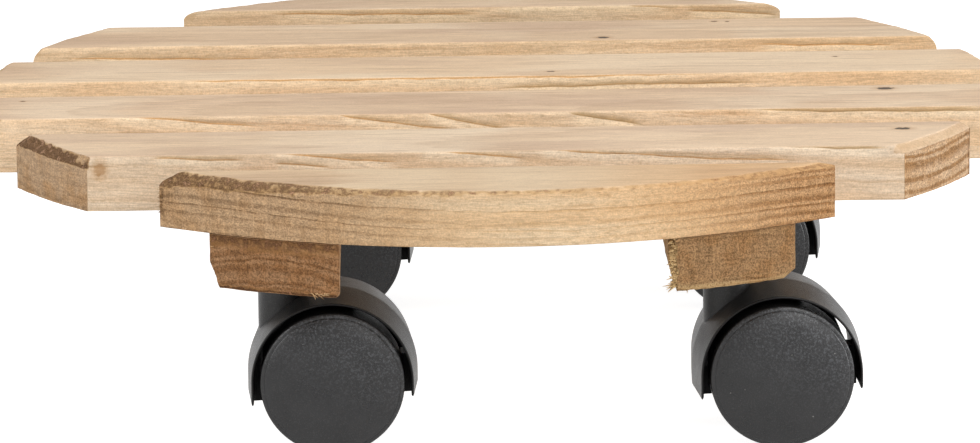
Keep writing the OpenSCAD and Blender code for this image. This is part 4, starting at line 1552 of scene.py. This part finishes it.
# %% Build the dust group
def settled_dust(place, cell, share):
    """Specks where the distance from a cell's point is under its own small size, in that share
    of the cells, and three noises: wide for the film, fine for the grain, between for the powder
    and painted highlight."""
    cells = put(place.tree, "TexVoronoi", Vector=place, Scale=1.0 / cell)
    colour = put(place.tree, "SeparateColor", Color=out(cells, "Color"))
    size = 0.025 + out(colour, 1) * 0.05
    speck = calc("LESS_THAN", out(cells, "Distance"), size)
    return {
        "Specks": speck * calc("LESS_THAN", out(colour, 0), share),
        "Film": cloud(place, 90.0, 5.0, 0.65),
        "Grain": cloud(place, 2600.0, 2.0, 0.7),
        "Powder Highlight": cloud(place, 1500.0, 2.0, 0.8),
    }


dust_inputs = {"Place": NOWHERE, "Cell": ("Float", 0.003), "Share": ("Float", 0.3)}
dust_group = new_group("dust", dust_inputs, settled_dust)

# %% [markdown]
# ## The plastics
# Hoods and wheels are the same black polypropylene. The wheels carry more dust, because they
# were handled and rolled; the hoods are a little browner where sawdust has settled. Inner sides,
# the tread and the inside of the hood are painted a deeper black as shade. A plain dark colour
# would look like a hole against the white, so the grey of the dust matters.

# %% Mix the plastics
# The first grey is powder and a painted highlight on the wheels' upper right; the black is painted shade on
# inner sides.
POWDER_HIGHLIGHT_GREY, SPECK_GREY, INNER_SHADE_BLACK = (0.088, 0.091, 0.098), (0.32, 0.31, 0.29), (0.009, 0.0087, 0.0085)
SPECK_CELL = 3.2


def plastic(name, black, dusty, specks, film_share, roughness):
    """Black moulded plastic: a near-black colour, a film and specks of dust on its outer sides,
    and a fine grain in its bump, with roughness that follows the film. On the upper right of a
    wheel's face lies a lighter grey, part powder and part painted highlight. Inner sides, the tread
    and the inside of the hood are painted a deeper black with less shine, as shade."""
    material, tree, place = new_material(name)
    dust = use_group(tree, dust_group, Place=place, Cell=SPECK_CELL * MM, Share=specks)
    outer_dust_inner_shade, dust_and_highlight = mesh_mask(tree, "outer_dust_inner_shade"), mesh_mask(tree, "dust_and_highlight")
    film = smooth(dust["Film"], 0.35, 0.7) * film_share
    fine = smooth(dust["Grain"], 0.5, 0.75) * 0.85
    colour = mix(film + fine, black, dusty)
    # Painted highlight with powder: a lighter grey on the upper right of each wheel's face.
    colour = blend(colour, POWDER_HIGHLIGHT_GREY, dust_and_highlight * smooth(dust["Powder Highlight"], 0.45, 0.68))
    colour = blend(colour, SPECK_GREY, dust["Specks"], 0.8)
    # Painted shade: inner sides, the tread and the hood's inside turn a deeper black.
    colour = mix(outer_dust_inner_shade, INNER_SHADE_BLACK, colour)
    matt = roughness + (dust["Film"] - 0.5) * 0.25
    bump = relief_bump(dust["Grain"], 0.8, 0.14 * MM)
    # Inner sides also get less shine, which darkens them further as painted shade.
    shine = 0.06 + outer_dust_inner_shade * 0.31
    finish_material(tree, Base_Color=colour, Roughness=matt, Normal=bump, Specular_IOR_Level=shine)
    return material


wheel_black = plastic("wheel_black", (0.010, 0.0098, 0.0102), (0.035, 0.0342, 0.035), 0.35, 0.35, 0.3)
hood_black = plastic("hood_black", (0.013, 0.0126, 0.0129), (0.045, 0.0435, 0.0425), 0.2, 0.5, 0.36)
for black, pieces in ((wheel_black, wheel_pieces), (hood_black, hood_pieces)):
    for piece in pieces:
        piece.data.materials.append(black)
    print(f"{black.name}: {len(pieces)} pieces")

# %% [markdown]
# ## The steel
# Plates, screws, kingpins and axles are zinc-plated: bright, a little yellow in places, with
# the faint mottle of the bath. The grip rings are darker spring steel. Their CAD shapes are
# right, so those nodes stay and only get a better material.

# %% Finish the steel
def steel(name, bright, dull, roughness):
    """Plated steel: two greys in a mottled blend, with the roughness following it."""
    material, tree, place = new_material(name)
    mottle = cloud(place, 420.0, 4.0, 0.6)
    colour = mix(smooth(mottle, 0.35, 0.7), bright, dull)
    bump = relief_bump(cloud(place, (300, 2600, 2600)), 0.1, 0.2 * MM)
    finish_material(tree, Base_Color=colour, Roughness=roughness + mottle * 0.2, Normal=bump, Metallic=1.0)
    return material


zinc = steel("zinc_plate", (0.52, 0.52, 0.51), (0.36, 0.35, 0.32), 0.3)
spring = steel("spring_steel_dark", (0.25, 0.25, 0.26), (0.14, 0.14, 0.15), 0.32)
shown = {node: piece for node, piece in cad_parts.items() if not piece.hide_render}
for node, piece in shown.items():
    piece.data.materials.clear()
    piece.data.materials.append(spring if node.endswith("grip_ring") else zinc)
print("steel pieces:", len(shown))

# %% [markdown]
# ## The floor
# The photograph shows the caddy on white. The floor is a wide pale sheet that still takes the
# object's shadow: its own colour is lit as any surface is, and camera and mirror rays see some
# white added on top. A shadow catcher would need its picture laid over white afterwards.

# %% Lay the floor
FLOOR_HALF, FLOOR_POINTS, FLOOR_GREY, FLOOR_GLOW = 6000, 25, 0.52, 0.9


def make_floor():
    """A flat grid under the wheels, 12 m wide, with its points joined to quads."""
    side = np.linspace(-FLOOR_HALF, FLOOR_HALF, FLOOR_POINTS)
    x, y = np.meshgrid(side, side, indexing="ij")
    number = np.arange(x.size).reshape(x.shape)
    quads = np.stack([number[:-1, :-1], number[1:, :-1], number[1:, 1:], number[:-1, 1:]], -1).reshape(-1, 4)
    mesh = bpy.data.meshes.new("floor")
    mesh.from_pydata((np.stack([x, y, 0 * x], -1).reshape(-1, 3) * MM).tolist(), [], quads.tolist())
    floor = bpy.data.objects.new("floor", mesh)
    bpy.context.scene.collection.objects.link(floor)
    return floor


def seen_directly(tree):
    """1 for rays of the camera and for mirrored or refracted ones, 0 for the light itself."""
    path = put(tree, "LightPath")
    camera, mirrored, through = (out(path, f"Is {kind} Ray") for kind in ("Camera", "Glossy", "Transmission"))
    return calc("MAXIMUM", calc("MAXIMUM", camera, mirrored), through)


floor = make_floor()
floor_paint, tree, _ = new_material("floor_paint")
glow = seen_directly(tree) * FLOOR_GLOW
grey = (*3 * (FLOOR_GREY,), 1)
finish_material(tree, Base_Color=grey, Roughness=0.9, Emission_Color=(1, 1, 1, 1), Emission_Strength=glow)
floor.data.materials.append(floor_paint)
print(f"floor {2 * FLOOR_HALF * MM:.0f} m wide")

# %% [markdown]
# ## The light
# The light is plain: a large soft lamp from the front right, a weaker one from the left, two
# low ones on the right and in front that reach the casters under the deck, and a dim even
# surrounding. A sky picture could light it too, but a picture is more than this needs.

# %% Light the scene
AMBIENT = 0.22


def soft_lamp(name, place, aim, width, height, power):
    """An area lamp at a place, turned so that its -Z axis points at its aim."""
    lamp = bpy.data.lights.new(name, "AREA")
    lamp.shape, lamp.size, lamp.size_y, lamp.energy = "RECTANGLE", width, height, power
    thing = bpy.data.objects.new(name, lamp)
    thing.location = place
    thing.rotation_euler = (Vector(aim) - Vector(place)).to_track_quat("-Z", "Y").to_euler()
    bpy.context.scene.collection.objects.link(thing)


world = bpy.data.worlds.new("surrounding")
bpy.context.scene.world = world
world.use_nodes = True
tree = world.node_tree
tree.nodes.clear()
level = AMBIENT + seen_directly(tree) * (1 - AMBIENT)
put(tree, "OutputWorld", Surface=out(put(tree, "Background", Color=(1, 1, 1, 1), Strength=level)))
# Name, place, aim, width and height in metres, and power in watts.
LAMPS = [
    ("key", (0.9, -1.65, 1.5), (0, 0, 0.05), 1.7, 1.7, 39),
    ("side", (-1.5, -0.87, 1.0), (0, 0, 0.05), 1.0, 1.0, 19),
    ("low right", (1.7, 0.1, 0.4), (0, 0, 0.03), 0.7, 0.7, 16),
    ("low front", (0.8, -2.1, 0.5), (0, 0, 0.03), 1.2, 0.35, 2),
]
for lamp in LAMPS:
    soft_lamp(*lamp)
print("lamps:", ", ".join(f"{name} {power} W" for name, *_, power in LAMPS))

# %% [markdown]
# ## The camera
# The camera was found by fitting a pinhole camera to the caddy's edges in the photograph: it
# stands 1.8 m in front, 0.44 m up, and is rolled by two thirds of a degree. The lens is the
# fitted focal length of 6257 pixels on a 36 mm sensor that is 980 pixels wide. Aiming it by eye
# would do for a picture, but not for comparing the two.

# %% Set the camera
CAMERA_PLACE = Vector((-0.029736, -1.7784, 0.441647))
BACK_AZIMUTH, BACK_ELEVATION, ROLL = -0.0166, 0.2205, -0.011
FOCAL_PX, FRAME_PX, SENSOR = 6257.47, 980, 36

back = Vector((
    math.sin(BACK_AZIMUTH) * math.cos(BACK_ELEVATION),
    -math.cos(BACK_AZIMUTH) * math.cos(BACK_ELEVATION),
    math.sin(BACK_ELEVATION),
))
level_right = (-back).cross(Vector((0, 0, 1))).normalized()
level_up = level_right.cross(-back)
right = level_right * math.cos(ROLL) + level_up * math.sin(ROLL)
up = level_up * math.cos(ROLL) - level_right * math.sin(ROLL)
camera = bpy.data.objects.new("camera", bpy.data.cameras.new("camera"))
camera.data.lens = FOCAL_PX * SENSOR / FRAME_PX
camera.data.sensor_width = SENSOR
camera.data.clip_start, camera.data.clip_end = 0.05, 50
camera.matrix_world = Matrix((right, up, back)).transposed().to_4x4()
camera.location = CAMERA_PLACE
bpy.context.scene.collection.objects.link(camera)
bpy.context.scene.camera = camera
bpy.context.scene.view_settings.view_transform = "Standard"
print(f"lens {camera.data.lens:.1f} mm")
